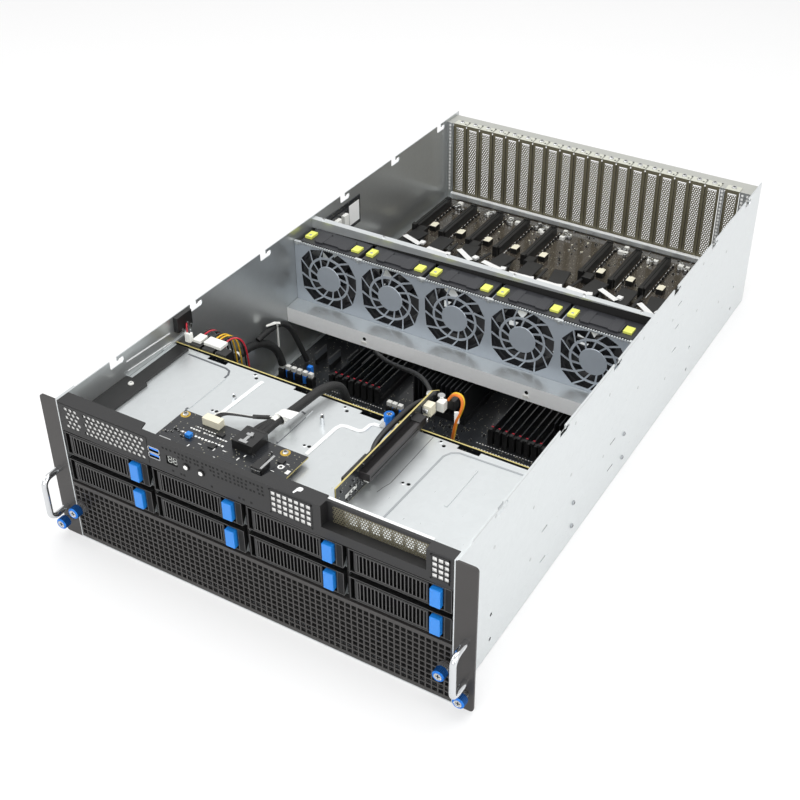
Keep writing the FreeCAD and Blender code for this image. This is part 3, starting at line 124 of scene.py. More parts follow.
# The camera that was fitted to the photograph: degrees, millimetres, and pixels of a
# square picture.
AZIMUTH, ELEVATION, ROLL = 29.756, 34.931, 0.420
TARGET = (-15.615, 365.205, 58.309)
DISTANCE = 1468.649
PICTURE = 800
FOCAL = 1273.677
CENTRE = (429.946, 372.36)
SENSOR = 36


def mm(*values):
    """Millimetres as a vector in metres."""
    return Vector(values) * MM


def linear(colour):
    """An sRGB hex colour as linear red, green and blue."""
    parts = [int(colour[index:index + 2], 16) / 255 for index in (1, 3, 5)]
    return [part / 12.92 if part <= 0.04045 else ((part + 0.055) / 1.055) ** 2.4
            for part in parts]


def low_of(node):
    """Lowest corner of a CAD node, in millimetres."""
    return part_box(node)[0] / MM


def high_of(node):
    """Highest corner of a CAD node, in millimetres."""
    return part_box(node)[1] / MM


def body_under(node):
    """Name of the body that a CAD node rides on."""
    parent = frame["nodes"][node].parent
    return next(name for name, empty in frame["bodies"].items() if empty == parent)


def colour_of(label, value):
    """A colour setting with its default from a hex value."""
    return bpy.props.FloatVectorProperty(
        name=label, description=f"Colour of the {label.lower()}", subtype="COLOR",
        size=3, min=0.0, max=1.0, default=linear(value))


def length_of(label, what, value):
    """A length setting with its default in millimetres."""
    return bpy.props.FloatProperty(
        name=label, description=what, unit="LENGTH", default=value * MM)


class ServerColours(bpy.types.PropertyGroup):
    """Colours that a user would change."""
    sheet: colour_of("Galvanised sheet", "#D6DADB")
    guard: colour_of("Fan wall", "#B4BCC5")
    blanks: colour_of("Slot blanks", "#78735F")
    inner: colour_of("Inner walls", "#C3C6C6")
    ears: colour_of("Rack ears", "#403E3D")
    bezel: colour_of("Front panel", "#161617")
    tray: colour_of("Drive trays", "#0B0B0B")
    edge: colour_of("Tray edges", "#474646")
    latch: colour_of("Release buttons", "#2081DA")
    knob: colour_of("Thumbscrews", "#1B72CC")
    tab: colour_of("Fan tabs", "#DCE068")
    board: colour_of("Circuit boards", "#15171A")
    card: colour_of("Card board", "#38332D")
    board_edge: colour_of("Board edges", "#C4B673")
    cream: colour_of("Cream sockets", "#E4DFC9")


class ServerSizes(bpy.types.PropertyGroup):
    """Sizes that a user would change."""
    grille_pitch: length_of("Grille pitch", "Distance between the grille's holes", 6.5)
    grille_hole: length_of("Grille hole", "Side of a square hole in the grille", 5.0)
    vent_pitch: length_of("Vent pitch", "Distance between the round vent holes", 5.9)
    vent_hole: length_of("Vent hole", "Diameter of a round vent hole", 4.2)
    blank_pitch: length_of("Blank pitch", "Distance between a blank's holes", 3.2)
    blank_hole: length_of("Blank hole", "Diameter of a hole in a blank", 1.85)
    screw_head: length_of("Screw head", "Diameter of a pan head", 5.4)
    wire: length_of("Wire", "Diameter of a single wire", 1.7)
    slats: bpy.props.IntProperty(
        name="Slats", description="Upright slats in one lever", default=18, min=3)
    seed: bpy.props.IntProperty(
        name="Seed", description="Seed for the small parts on the boards", default=7)


def add(tree, kind, settings=None, links=None):
    """A node with its settings and values, and with what feeds it."""
    node = tree.nodes.new(kind)
    for key, value in (settings or {}).items():
        if isinstance(key, str) and hasattr(node, key):
            setattr(node, key, value)
        else:
            node.inputs[key].default_value = value
    for key, source in (links or {}).items():
        tree.links.new(source, node.inputs[key])
    return node


def placed(name, data):
    """Puts a mesh, a curve, a light or a camera into the scene as an object."""
    piece = bpy.data.objects.new(name, data)
    bpy.context.scene.collection.objects.link(piece)
    return piece


def evaluated(piece):
    """The mesh that an object's curve or modifier gives."""
    bpy.context.view_layer.update()
    ready = piece.evaluated_get(bpy.context.evaluated_depsgraph_get())
    return bpy.data.meshes.new_from_object(ready)


def around(middle, half):
    """The two places that are half a width either side of a middle."""
    return middle - half, middle + half


def tube(inner, outer, height):
    """The turned profile of a tube that starts at its origin."""
    return [(inner, 0), (outer, 0), (outer, height), (inner, height), (inner, 0)]


def shade(colour, factor):
    """A colour made lighter or darker, as red, green, blue and alpha."""
    return (*[min(1.0, part * factor) for part in colour], 1.0)


class Finish:
    """One material: its shader, and the ways that a real surface varies."""

    def __init__(self, name, colour, metallic=0.0, roughness=0.5, **values):
        self.material = bpy.data.materials.new(name)
        self.material.use_nodes = True
        self.tree = self.material.node_tree
        self.tree.nodes.clear()
        self.colour = colour
        settings = {"Base Color": (*colour, 1.0), "Metallic": metallic,
                    "Roughness": roughness}
        self.shader = add(self.tree, "ShaderNodeBsdfPrincipled", {**settings, **values})
        add(self.tree, "ShaderNodeOutputMaterial",
            links={"Surface": self.shader.outputs["BSDF"]})
        self.place = add(self.tree, "ShaderNodeTexCoord").outputs["Object"]
        self.paint = None

    def noise(self, size, stretch=(1.0, 1.0, 1.0)):
        """Noise whose grain has a real size in millimetres."""
        turned = add(self.tree, "ShaderNodeMapping", {"Scale": stretch},
                     {"Vector": self.place})
        return add(self.tree, "ShaderNodeTexNoise",
                   {"Scale": 1 / (size * MM), "Detail": 3.0},
                   {"Vector": turned.outputs["Vector"]}).outputs["Fac"]

    def vary(self, source, dark, light):
        """Varies the colour between two factors of it."""
        first = add(self.tree, "ShaderNodeMix",
                    {"data_type": "RGBA", 6: shade(self.colour, dark),
                     7: shade(self.colour, light)}, {0: source})
        self.lay(first.outputs[2])
        return self

    def lay(self, source):
        """Feeds the shader's colour."""
        self.paint = source
        self.tree.links.new(source, self.shader.inputs["Base Color"])

    def over(self, mask, colour):
        """Lays a colour over the finish where a mask is one."""
        base = {7: (*colour, 1.0), "data_type": "RGBA"}
        links = {0: mask}
        if self.paint is None:
            base[6] = (*self.colour, 1.0)
        else:
            links[6] = self.paint
        self.lay(add(self.tree, "ShaderNodeMix", base, links).outputs[2])
        return self

    def gloss(self, source, low, high):
        """Varies the roughness."""
        spread = add(self.tree, "ShaderNodeMapRange", {"To Min": low, "To Max": high},
                     {"Value": source})
        self.tree.links.new(spread.outputs["Result"], self.shader.inputs["Roughness"])
        return self

    def bump(self, source, height, strength=0.6):
        """Raises the surface by a height in millimetres."""
        raised = add(self.tree, "ShaderNodeBump",
                     {"Strength": strength, "Distance": height * MM}, {"Height": source})
        self.tree.links.new(raised.outputs["Normal"], self.shader.inputs["Normal"])
        return self

    def above(self, source, level):
        """One where a value is above a level."""
        return add(self.tree, "ShaderNodeMath", {"operation": "GREATER_THAN", 1: level},
                   {0: source}).outputs[0]


def galvanised(name, colour, roughness, metallic):
    """Zinc-coated steel sheet: pale, with faint spangles and a rolled grain. The dull
    passivated coat scatters about as much light as it mirrors."""
    made = Finish(name, colour, metallic=metallic, roughness=roughness)
    # Spangles are about 5 mm across, and hardly darker than the zinc between them.
    cells = add(made.tree, "ShaderNodeTexVoronoi", {"Scale": 1 / (5 * MM)},
                {"Vector": made.place})
    grey = add(made.tree, "ShaderNodeRGBToBW", links={"Color": cells.outputs["Color"]})
    made.vary(grey.outputs["Val"], 0.98, 1.015)
    rolled = made.noise(0.9, (1.0, 0.06, 1.0))
    made.gloss(rolled, roughness * 0.8, roughness * 1.25)
    return made.bump(rolled, 0.012)


def moulded(name, colour, roughness):
    """Injection-moulded ABS: an even colour with a fine spark-eroded grain."""
    made = Finish(name, colour, roughness=roughness, IOR=1.54)
    # The real grain is near 0.1 mm, drawn at 0.7 mm so that it shows.
    fine = made.noise(0.7)
    made.vary(made.noise(25.0), 0.9, 1.12)
    made.gloss(fine, roughness * 0.85, roughness * 1.2)
    return made.bump(fine, 0.02, 0.4)


def solder_mask(name, colour, edge, roughness=0.34, coat=0.3):
    """A coated circuit board: dark and glossy, with traces and tinned pads under it."""
    made = Finish(name, colour, roughness=roughness, IOR=1.5)
    made.shader.inputs["Coat Weight"].default_value = coat
    made.shader.inputs["Coat Roughness"].default_value = 0.08
    # Traces are about 1 mm apart here, coarser than real ones, so that they show.
    traces = add(made.tree, "ShaderNodeTexBrick",
                 {"Scale": 1 / (22 * MM), "Mortar Size": 0.012, "Row Height": 0.11,
                  "Brick Width": 0.9, "Color1": (0, 0, 0, 1), "Color2": (0, 0, 0, 1),
                  "Mortar": (1, 1, 1, 1)}, {"Vector": made.place})
    made.vary(made.noise(14.0), 0.75, 1.4)
    made.over(made.above(traces.outputs["Fac"], 0.5), [part * 2.6 for part in colour])
    pads = add(made.tree, "ShaderNodeTexVoronoi", {"Scale": 1 / (4.2 * MM)},
               {"Vector": made.place})
    small = add(made.tree, "ShaderNodeMath", {"operation": "LESS_THAN", 1: 0.16},
                {0: pads.outputs["Distance"]})
    made.over(small.outputs[0], edge)
    return made.bump(made.noise(0.8), 0.01)


def make_finishes(scene):
    """Every material of the server, by the name of its finish."""
    tint = scene.server_colours
    finishes = {
        # Hot-dip zinc: pale and half mirrored, so it takes up the light round it.
        "sheet": galvanised("galvanised_steel", tint.sheet, 0.3, 0.72),
        # The same coat inside the walls, a little greyer and glossier.
        "inner": galvanised("galvanised_inner_wall", tint.inner, 0.3, 0.82),
        # Cold-rolled zinc that the dies have rubbed: bluish and duller.
        "guard": galvanised("stamped_fan_wall_steel", tint.guard, 0.36, 0.4),
        # Nickel over steel: a warm olive grey with a soft shine.
        "blanks": galvanised("nickel_plated_blanks", tint.blanks, 0.4, 0.5),
        # Pressed ridges are painted nearly white: a painted highlight for the light that
        # their curved tops catch.
        "ridge": galvanised("pressed_zinc_painted_highlight", linear("#F6F7F7"), 0.3, 0.25),
        # The apron is painted an even, paper-like white: painted light, as the lamps reach
        # it little.
        "apron": galvanised("apron_zinc_painted_light", linear("#FBFCFC"), 0.45, 0.0),
        # Passivated zinc tabs and flange: flat, warm greys.
        "tab_plate": galvanised("zinc_blank_tabs", linear("#CFD0C4"), 0.4, 0.4),
        "flange": galvanised("zinc_rear_flange", linear("#B2B3AD"), 0.42, 0.3),
        # A pressed step's slope turns from the light, so it reads darker.
        "step": galvanised("pressed_deck_step", linear("#A4A8AB"), 0.4, 0.4),
        # Spark-eroded ABS: satin black, with a fine grain.
        "bezel": moulded("moulded_abs_bezel", tint.bezel, 0.5),
        "tray": moulded("moulded_abs_tray", tint.tray, 0.42),
        # Edges are painted paler than the face, as a painted highlight where they catch the
        # light.
        "edge_line": moulded("abs_edge_painted_highlight", tint.edge, 0.38),
        # Gloss-moulded ABS: a clear blue with small highlights.
        "latch": moulded("glossy_blue_abs", tint.latch, 0.3),
        # Unfilled nylon: waxy, even colours.
        "tab": moulded("lime_nylon", tint.tab, 0.45),
        "white": moulded("white_nylon_plug", linear("#E9E9E4"), 0.45),
        "cream": moulded("cream_nylon_socket", tint.cream, 0.5),
        # Filled plastics: deep blacks with little shine.
        "socket": moulded("black_liquid_crystal_polymer", linear("#131313"), 0.4),
        "fan": moulded("black_glass_filled_nylon", linear("#25262A"), 0.5),
        # Moulded slats and slots that are greyer than what is round them. The left deck
        # steps borrow the same grey as painted shade on their slopes.
        "slate": moulded("grey_slat_and_painted_step_shade", linear("#585C60"), 0.4),
        "brown": moulded("grey_brown_slot", linear("#2E2B2C"), 0.42),
        # A port's tongue: saturated blue, half in shade.
        "usb": moulded("blue_usb_tongue", linear("#2C86F0"), 0.4),
        # Extruded PVC round each wire: strong colours with a soft shine.
        "red": moulded("red_pvc_wire", linear("#C01F33"), 0.45),
        "yellow": moulded("yellow_pvc_wire", linear("#E0B21E"), 0.45),
        "orange": moulded("orange_pvc_wire", linear("#D9731C"), 0.45),
        "wire": moulded("black_pvc_wire", linear("#101010"), 0.45),
        # Boards under solder mask: black and satin, or brown-black and glossy.
        "board": solder_mask("black_solder_mask", tint.board, linear("#8D8A7A")),
        "card": solder_mask("glossy_card_solder_mask", tint.card, linear("#8D8A7A"),
                            0.16, 0.8),
        # Routed glass-epoxy: a dry yellow line round a board.
        "board_edge": moulded("glass_epoxy_edge", tint.board_edge, 0.55),
        # Openings that no light comes out of.
        "dark": moulded("unlit_inside", linear("#050505"), 0.9),
    }
    # Powder coat on the ears: satin, with a slight orange peel.
    ears = Finish("satin_powder_coat", tint.ears, metallic=0.3, roughness=0.42)
    peel = ears.noise(1.6)
    ears.vary(ears.noise(30.0), 0.93, 1.08).gloss(peel, 0.36, 0.5).bump(peel, 0.03, 0.5)
    finishes["ears"] = ears
    # Polished chrome on the handles: a mirror with faint hairlines from buffing.
    chrome = Finish("polished_chrome", linear("#D8DADC"), metallic=1.0, roughness=0.12)
    lines = chrome.noise(0.5, (1.0, 1.0, 0.08))
    chrome.vary(lines, 0.96, 1.02).gloss(lines, 0.08, 0.18)
    finishes["chrome"] = chrome
    # Dyed anodised aluminium on the knobs: a metal sheen through a strong blue.
    knob = Finish("blue_anodised_aluminium", tint.knob, metallic=0.55, roughness=0.33)
    knob.vary(knob.noise(1.2), 0.8, 1.35).gloss(knob.noise(0.6), 0.25, 0.42)
    finishes["knob"] = knob
    # The knurled sides are painted a darker navy than the face, as painted shade on the
    # sides that turn from the light.
    side = Finish("knurled_blue_painted_shade", [part * 0.4 for part in tint.knob],
                  metallic=0.55, roughness=0.45)
    side.vary(side.noise(1.2), 0.8, 1.3)
    finishes["knob_side"] = side
    # Nickel-plated screws and shells: bright, a little uneven.
    nickel = Finish("nickel_plated_steel", linear("#C9CACA"), metallic=1.0, roughness=0.25)
    nickel.vary(nickel.noise(2.5), 0.9, 1.04).gloss(nickel.noise(1.0), 0.18, 0.36)
    finishes["nickel"] = nickel
    # Gold rings round the board's screw holes: soft immersion gold.
    gold = Finish("immersion_gold", linear("#D9B65A"), metallic=1.0, roughness=0.3)
    gold.vary(gold.noise(1.5), 0.9, 1.05)
    finishes["gold"] = gold
    # Extruded fins: black anodised aluminium with lines along the extrusion.
    fins = Finish("black_anodised_fins", linear("#2B2C2E"), metallic=0.6, roughness=0.42)
    drawn = fins.noise(0.6, (1.0, 0.05, 1.0))
    fins.vary(drawn, 0.9, 1.05).gloss(drawn, 0.32, 0.5)
    finishes["fins"] = fins
    # Braided sleeve: black threads that cross about every 2 mm, drawn coarse to show.
    sleeve = Finish("braided_polyester_sleeve", linear("#121212"), roughness=0.62)
    threads = add(sleeve.tree, "ShaderNodeTexChecker", {"Scale": 1 / (1.1 * MM)},
                  {"Vector": sleeve.place})
    sleeve.vary(threads.outputs["Fac"], 0.7, 2.2).bump(threads.outputs["Fac"], 0.15)
    finishes["sleeve"] = sleeve
    # Blank paper labels: bright and flat, with a little fibre. The same finish is painted
    # light behind the vent holes and in the blanks' end columns.
    paper = Finish("paper_label_and_painted_light", linear("#ECECEA"), roughness=0.7)
    paper.vary(paper.noise(0.9), 0.96, 1.03).bump(paper.noise(0.5), 0.01)
    finishes["paper"] = paper
    # Seven-segment digits behind tinted plastic: pale grey and smooth.
    digit = Finish("diffused_display_segment", linear("#B9BCB8"), roughness=0.25)
    digit.vary(digit.noise(0.8), 0.95, 1.05)
    finishes["digit"] = digit
    return {name: made.material for name, made in finishes.items()}


class Shape:
    """Collects blocks, rods and turned forms, in millimetres, into one mesh."""

    def __init__(self):
        self.mesh = bmesh.new()

    def paint(self, verts, material):
        """Marks the faces of new vertices with a material's number."""
        for face in {face for vert in verts for face in vert.link_faces}:
            face.material_index = material
        return self

    def block(self, x, y, z, material=0, turn=0.0):
        """A block between two places on each axis, turned about Z round its middle."""
        spans = (x, y, z)
        middle = mm(*[(low + high) / 2 for low, high in spans])
        sides = [abs(high - low) * MM for low, high in spans]
        where = Matrix.Translation(middle) @ Matrix.Rotation(turn, 4, "Z") \
            @ Matrix.Diagonal((*sides, 1.0))
        made = bmesh.ops.create_cube(self.mesh, size=1.0, matrix=where)
        return self.paint(made["verts"], material)

    def rod(self, axis, start, radius, length, material=0, sides=14):
        """A round bar that starts at a point and runs along an axis."""
        where = Matrix.Translation(mm(*start)) @ RUNS[axis] @ Matrix.Translation(
            mm(0, 0, length / 2))
        made = bmesh.ops.create_cone(
            self.mesh, cap_ends=True, segments=sides, radius1=radius * MM,
            radius2=radius * MM, depth=length * MM, matrix=where)
        return self.paint(made["verts"], material)

    def slab(self, corners, low, high, axis="z", material=0):
        """A flat shape with straight sides, from its corners, between two levels."""
        order = {"z": (0, 1, 2), "y": (0, 2, 1), "x": (2, 0, 1)}[axis]
        rings = []
        for level in (low, high):
            ring = []
            for corner in corners:
                spot = (*corner, level)
                ring.append(self.mesh.verts.new(mm(*[spot[index] for index in order])))
            rings.append(ring)
        faces = [self.mesh.faces.new(rings[0][::-1]), self.mesh.faces.new(rings[1])]
        count = len(corners)
        for index in range(count):
            after = (index + 1) % count
            faces.append(self.mesh.faces.new(
                (rings[0][index], rings[0][after], rings[1][after], rings[1][index])))
        for face in faces:
            face.material_index = material
        bmesh.ops.recalc_face_normals(self.mesh, faces=faces)
        return self

    def turned(self, axis, start, profile, material=0, sides=20, ridge=0.0):
        """A closed turned form from (radius, place) pairs that start and end on its axis.
        A pair with a third value takes that material up to the next pair. A ridge
        makes every other side lower, as a knurl does."""
        where = Matrix.Translation(mm(*start)) @ RUNS[axis]
        rings = []
        for radius, place, *_ in profile:
            ring = []
            for side in range(sides if radius > 0 else 1):
                angle = 2 * math.pi * side / sides
                reach = radius - (ridge if side % 2 and radius > KNURL_CORE else 0.0)
                spot = mm(reach * math.cos(angle), reach * math.sin(angle), place)
                ring.append(self.mesh.verts.new(where @ spot))
            rings.append(ring)
        faces = []
        for index, (first, second) in enumerate(zip(rings, rings[1:])):
            mark = profile[index][2] if len(profile[index]) > 2 else material
            for side in range(sides):
                after = (side + 1) % sides
                corners = [first[side % len(first)], first[after % len(first)],
                           second[after % len(second)], second[side % len(second)]]
                face = self.mesh.faces.new(list(dict.fromkeys(corners)))
                face.material_index = mark
                faces.append(face)
        bmesh.ops.recalc_face_normals(self.mesh, faces=faces)
        return self

    def mesh_data(self, name):
        """The collected mesh as Blender mesh data."""
        data = bpy.data.meshes.new(name)
        self.mesh.to_mesh(data)
        self.mesh.free()
        return data

    def ride(self, name, body, finishes, bevel=0.0, replaces=()):
        """Ends the piece: its finishes by name, a small bevel, and what carries it."""
        data = self.mesh_data(name)
        for finish in finishes:
            data.materials.append(FINISHES[finish])
        piece = placed(name, data)
        if bevel:
            edge = piece.modifiers.new("edge", "BEVEL")
            edge.width = bevel * MM
            edge.segments = 1
            edge.limit_method = "ANGLE"
        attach(piece, body)
        if replaces:
            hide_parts(*replaces)
        return piece


def new_tree(name, inputs):
    """A geometry-nodes tree with named inputs and one geometry output."""
    tree = bpy.data.node_groups.new(name, "GeometryNodeTree")
    for label, kind in inputs:
        tree.interface.new_socket(label, in_out="INPUT", socket_type=kind)
    tree.interface.new_socket("Geometry", in_out="OUTPUT", socket_type="NodeSocketGeometry")
    source = add(tree, "NodeGroupInput")
    return tree, source.outputs


def end_tree(tree, geometry, given):
    """Realises the copies, sets their two finishes and closes the tree."""
    real = add(tree, "GeometryNodeRealizeInstances", links={"Geometry": geometry})
    main = add(tree, "GeometryNodeSetMaterial",
               links={"Geometry": real.outputs[0], "Material": given["Finish"]})
    mark = add(tree, "GeometryNodeInputNamedAttribute", {"data_type": "BOOLEAN",
                                                         "Name": "second"})
    other = add(tree, "GeometryNodeSetMaterial",
                links={"Geometry": main.outputs[0], "Material": given["Second finish"],
                       "Selection": mark.outputs["Attribute"]})
    add(tree, "NodeGroupOutput", links={"Geometry": other.outputs[0]})
    return tree


def copies_tree():
    """Copies of one small piece on points, each turned and scaled by its point."""
    tree, given = new_tree("copies_on_points", [
        ("Points", "NodeSocketGeometry"), ("Piece", "NodeSocketObject"),
        ("Finish", "NodeSocketMaterial"), ("Second finish", "NodeSocketMaterial")])
    piece = add(tree, "GeometryNodeObjectInfo", links={"Object": given["Piece"]})
    turn = add(tree, "GeometryNodeInputNamedAttribute", {"data_type": "FLOAT_VECTOR",
                                                         "Name": "turn"})
    grow = add(tree, "GeometryNodeInputNamedAttribute", {"data_type": "FLOAT_VECTOR",
                                                         "Name": "grow"})
    spread = add(tree, "GeometryNodeInstanceOnPoints",
                 links={"Points": given["Points"], "Instance": piece.outputs["Geometry"],
                        "Rotation": turn.outputs["Attribute"],
                        "Scale": grow.outputs["Attribute"]})
    return end_tree(tree, spread.outputs[0], given)


def rows_tree():
    """Blocks of one size in rows and columns."""
    tree, given = new_tree("rows_of_blocks", [
        ("Points", "NodeSocketGeometry"), ("Columns", "NodeSocketInt"),
        ("Column pitch", "NodeSocketVector"), ("Rows", "NodeSocketInt"),
        ("Row pitch", "NodeSocketVector"), ("Size", "NodeSocketVector"),
        ("Start", "NodeSocketVector"), ("Finish", "NodeSocketMaterial"),
        ("Second finish", "NodeSocketMaterial")])
    cube = add(tree, "GeometryNodeMeshCube", links={"Size": given["Size"]})
    line = add(tree, "GeometryNodeMeshLine",
               links={"Count": given["Columns"], "Offset": given["Column pitch"],
                      "Start Location": given["Start"]})
    across = add(tree, "GeometryNodeInstanceOnPoints",
                 links={"Points": line.outputs[0], "Instance": cube.outputs["Mesh"]})
    line_up = add(tree, "GeometryNodeMeshLine",
                  links={"Count": given["Rows"], "Offset": given["Row pitch"]})
    up = add(tree, "GeometryNodeInstanceOnPoints",
             links={"Points": line_up.outputs[0], "Instance": across.outputs[0]})
    return end_tree(tree, up.outputs[0], given)


def grown(name, body, tree, values, points=None):
    """Runs a tree, keeps its result as a plain mesh and lets it ride on a body."""
    data = bpy.data.meshes.new(name)
    places = points or [at(0, 0, 0)]
    data.from_pydata([mm(*place) for place, turn, grow in places], [], [])
    for label, index in (("turn", 1), ("grow", 2)):
        layer = data.attributes.new(label, "FLOAT_VECTOR", "POINT")
        layer.data.foreach_set("vector", [part for place in places
                                          for part in place[index]])
    piece = placed(name, data)
    modifier = piece.modifiers.new(tree.name, "NODES")
    modifier.node_group = tree
    for item in tree.interface.items_tree:
        if item.in_out == "INPUT" and item.name in values:
            modifier[item.identifier] = values[item.name]
    result = evaluated(piece)
    piece.modifiers.remove(modifier)
    piece.data = result
    if not result.polygons:
        raise RuntimeError(f"{name} came out empty")
    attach(piece, body)
    return piece


def copies(name, body, shape, points, finish, second=None):
    """Copies of a shape on points, each (place, turn, scale), as one mesh."""
    data = shape.mesh_data(name + "_one")
    marks = data.attributes.new("second", "BOOLEAN", "FACE")
    for index, face in enumerate(data.polygons):
        marks.data[index].value = face.material_index == 1
    one = placed(name + "_one", data)
    piece = grown(name, body, bpy.data.node_groups["copies_on_points"], {
        "Piece": one, "Finish": FINISHES[finish],
        "Second finish": FINISHES[second or finish]}, points)
    bpy.data.objects.remove(one)
    return piece


def rows(name, body, start, size, columns, pitch, finish, rows_up=1, rise=(0, 0, 0)):
    """Blocks in rows: the first one's middle, its size, and the steps between them."""
    return grown(name, body, bpy.data.node_groups["rows_of_blocks"], {
        "Columns": columns, "Column pitch": mm(*pitch), "Rows": rows_up,
        "Row pitch": mm(*rise), "Size": mm(*size), "Start": mm(*start),
        "Finish": FINISHES[finish], "Second finish": FINISHES[finish]})


def at(x, y, z, turn=(0, 0, 0), grow=1.0):
    """One point for copies()."""
    scale = grow if isinstance(grow, tuple) else (grow, grow, grow)
    return ((x, y, z), turn, scale)


def screw_shape(radius):
    """A pan head with a dark cross recess, whose seat is at its origin and top on Z."""
    shape = Shape()
    height = radius * 0.62
    shape.turned("z", (0, 0, 0), [(0, 0), (radius, 0), (radius, height * 0.45),
                                  (radius * 0.72, height), (0, height)], sides=12)
    arm, thin = radius * 0.55, radius * 0.16
    cross = [(arm, -thin), (arm, thin), (thin, thin), (thin, arm), (-thin, arm),
             (-thin, thin), (-arm, thin), (-arm, -thin), (-thin, -thin), (-thin, -arm),
             (thin, -arm), (thin, -thin)]
    return shape.slab(cross, height - 0.05, height + 0.04, material=1)


def cell_shape(corners, hole, depth):
    """One cell of a pierced sheet: its outline, its hole and its thickness, facing -Y."""
    shape = Shape()
    mesh = shape.mesh
    rings = [[mesh.verts.new(mm(x, y, z)) for x, z in ring]
             for ring, y in ((corners, 0), (hole, 0), (corners, depth), (hole, depth))]
    count = len(corners)
    faces = []
    for index in range(count):
        after = (index + 1) % count
        for first, second in ((0, 1), (1, 3), (3, 2)):
            faces.append(mesh.faces.new((rings[first][index], rings[first][after],
                                         rings[second][after], rings[second][index])))
    bmesh.ops.recalc_face_normals(mesh, faces=faces)
    if faces[0].normal.y > 0:
        bmesh.ops.reverse_faces(mesh, faces=faces)
    return shape


def ring_of(sides, radius):
    """Corners of a regular outline, whose first corner is a twelfth of a turn round."""
    turns = [HEX_TURN + 2 * math.pi * index / sides for index in range(sides)]
    return [(radius * math.cos(turn), radius * math.sin(turn)) for turn in turns]


def square_ring(half):
    """Corners of a square outline with a point in the middle of each side."""
    return [(half, -half), (half, 0), (half, half), (0, half), (-half, half), (-half, 0),
            (-half, -half), (0, -half)]


def wires(name, body, routes, finishes):
    """Smooth round leads. Each route is (points, diameter, finish number)."""
    pieces = []
    for points, diameter, finish in routes:
        curve = bpy.data.curves.new(name, "CURVE")
        curve.dimensions = "3D"
        curve.bevel_depth = diameter / 2 * MM
        curve.bevel_resolution = 2
        curve.use_fill_caps = True
        curve.resolution_u = 6
        spline = curve.splines.new("NURBS")
        spline.points.add(len(points) - 1)
        for point, place in zip(spline.points, points):
            point.co = (*mm(*place), 1.0)
        spline.order_u = 3
        spline.use_endpoint_u = True
        holder = placed(name, curve)
        mesh = evaluated(holder)
        bpy.data.objects.remove(holder)
        for face in mesh.polygons:
            face.material_index = finish
            face.use_smooth = True
        pieces.append(mesh)
    joined = bmesh.new()
    for mesh in pieces:
        joined.from_mesh(mesh)
    bmesh.ops.recalc_face_normals(joined, faces=joined.faces)
    data = bpy.data.meshes.new(name)
    joined.to_mesh(data)
    joined.free()
    for finish in finishes:
        data.materials.append(FINISHES[finish])
    piece = placed(name, data)
    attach(piece, body)
    return piece


def dress(node, finishes, choose=None):
    """Gives a CAD node its finishes, by the middle and the normal of each face."""
    mesh = frame["nodes"][node].data
    mesh.materials.clear()
    for finish in finishes:
        mesh.materials.append(FINISHES[finish])
    for face in mesh.polygons:
        face.material_index = choose(face.center / MM, face.normal) if choose else 0


def inside(point, x, y, z):
    """Whether a point is between two places on each axis."""
    return all(low <= value <= high for value, (low, high) in zip(point, (x, y, z)))


def reshaped(name, node, finishes, change, choose):
    """Stands for a CAD node with a merged copy of its mesh whose corners have moved."""
    shape = Shape()
    mesh = shape.mesh
    mesh.from_mesh(frame["nodes"][node].data)
    bmesh.ops.remove_doubles(mesh, verts=mesh.verts, dist=0.001 * MM)
    change(mesh)
    mesh.normal_update()
    bmesh.ops.recalc_face_normals(mesh, faces=mesh.faces)
    mesh.normal_update()
    for face in mesh.faces:
        face.material_index = choose(face.calc_center_median() / MM, face.normal)
    return shape.ride(name, body_under(node), finishes, replaces=[node])


def tray_place(number):
    """The middle of a tray on X and its underside on Z."""
    return COLUMNS[number % 4], TRAY_FLOORS[number // 4]


def of_board(spot, normal, top):
    """A board's own finish on its two faces, its edge's on the rim, nickel below it."""
    if spot.z < top - BOARD_THICK - 0.1:
        return 4
    return 0 if abs(normal.z) > 0.5 else 1


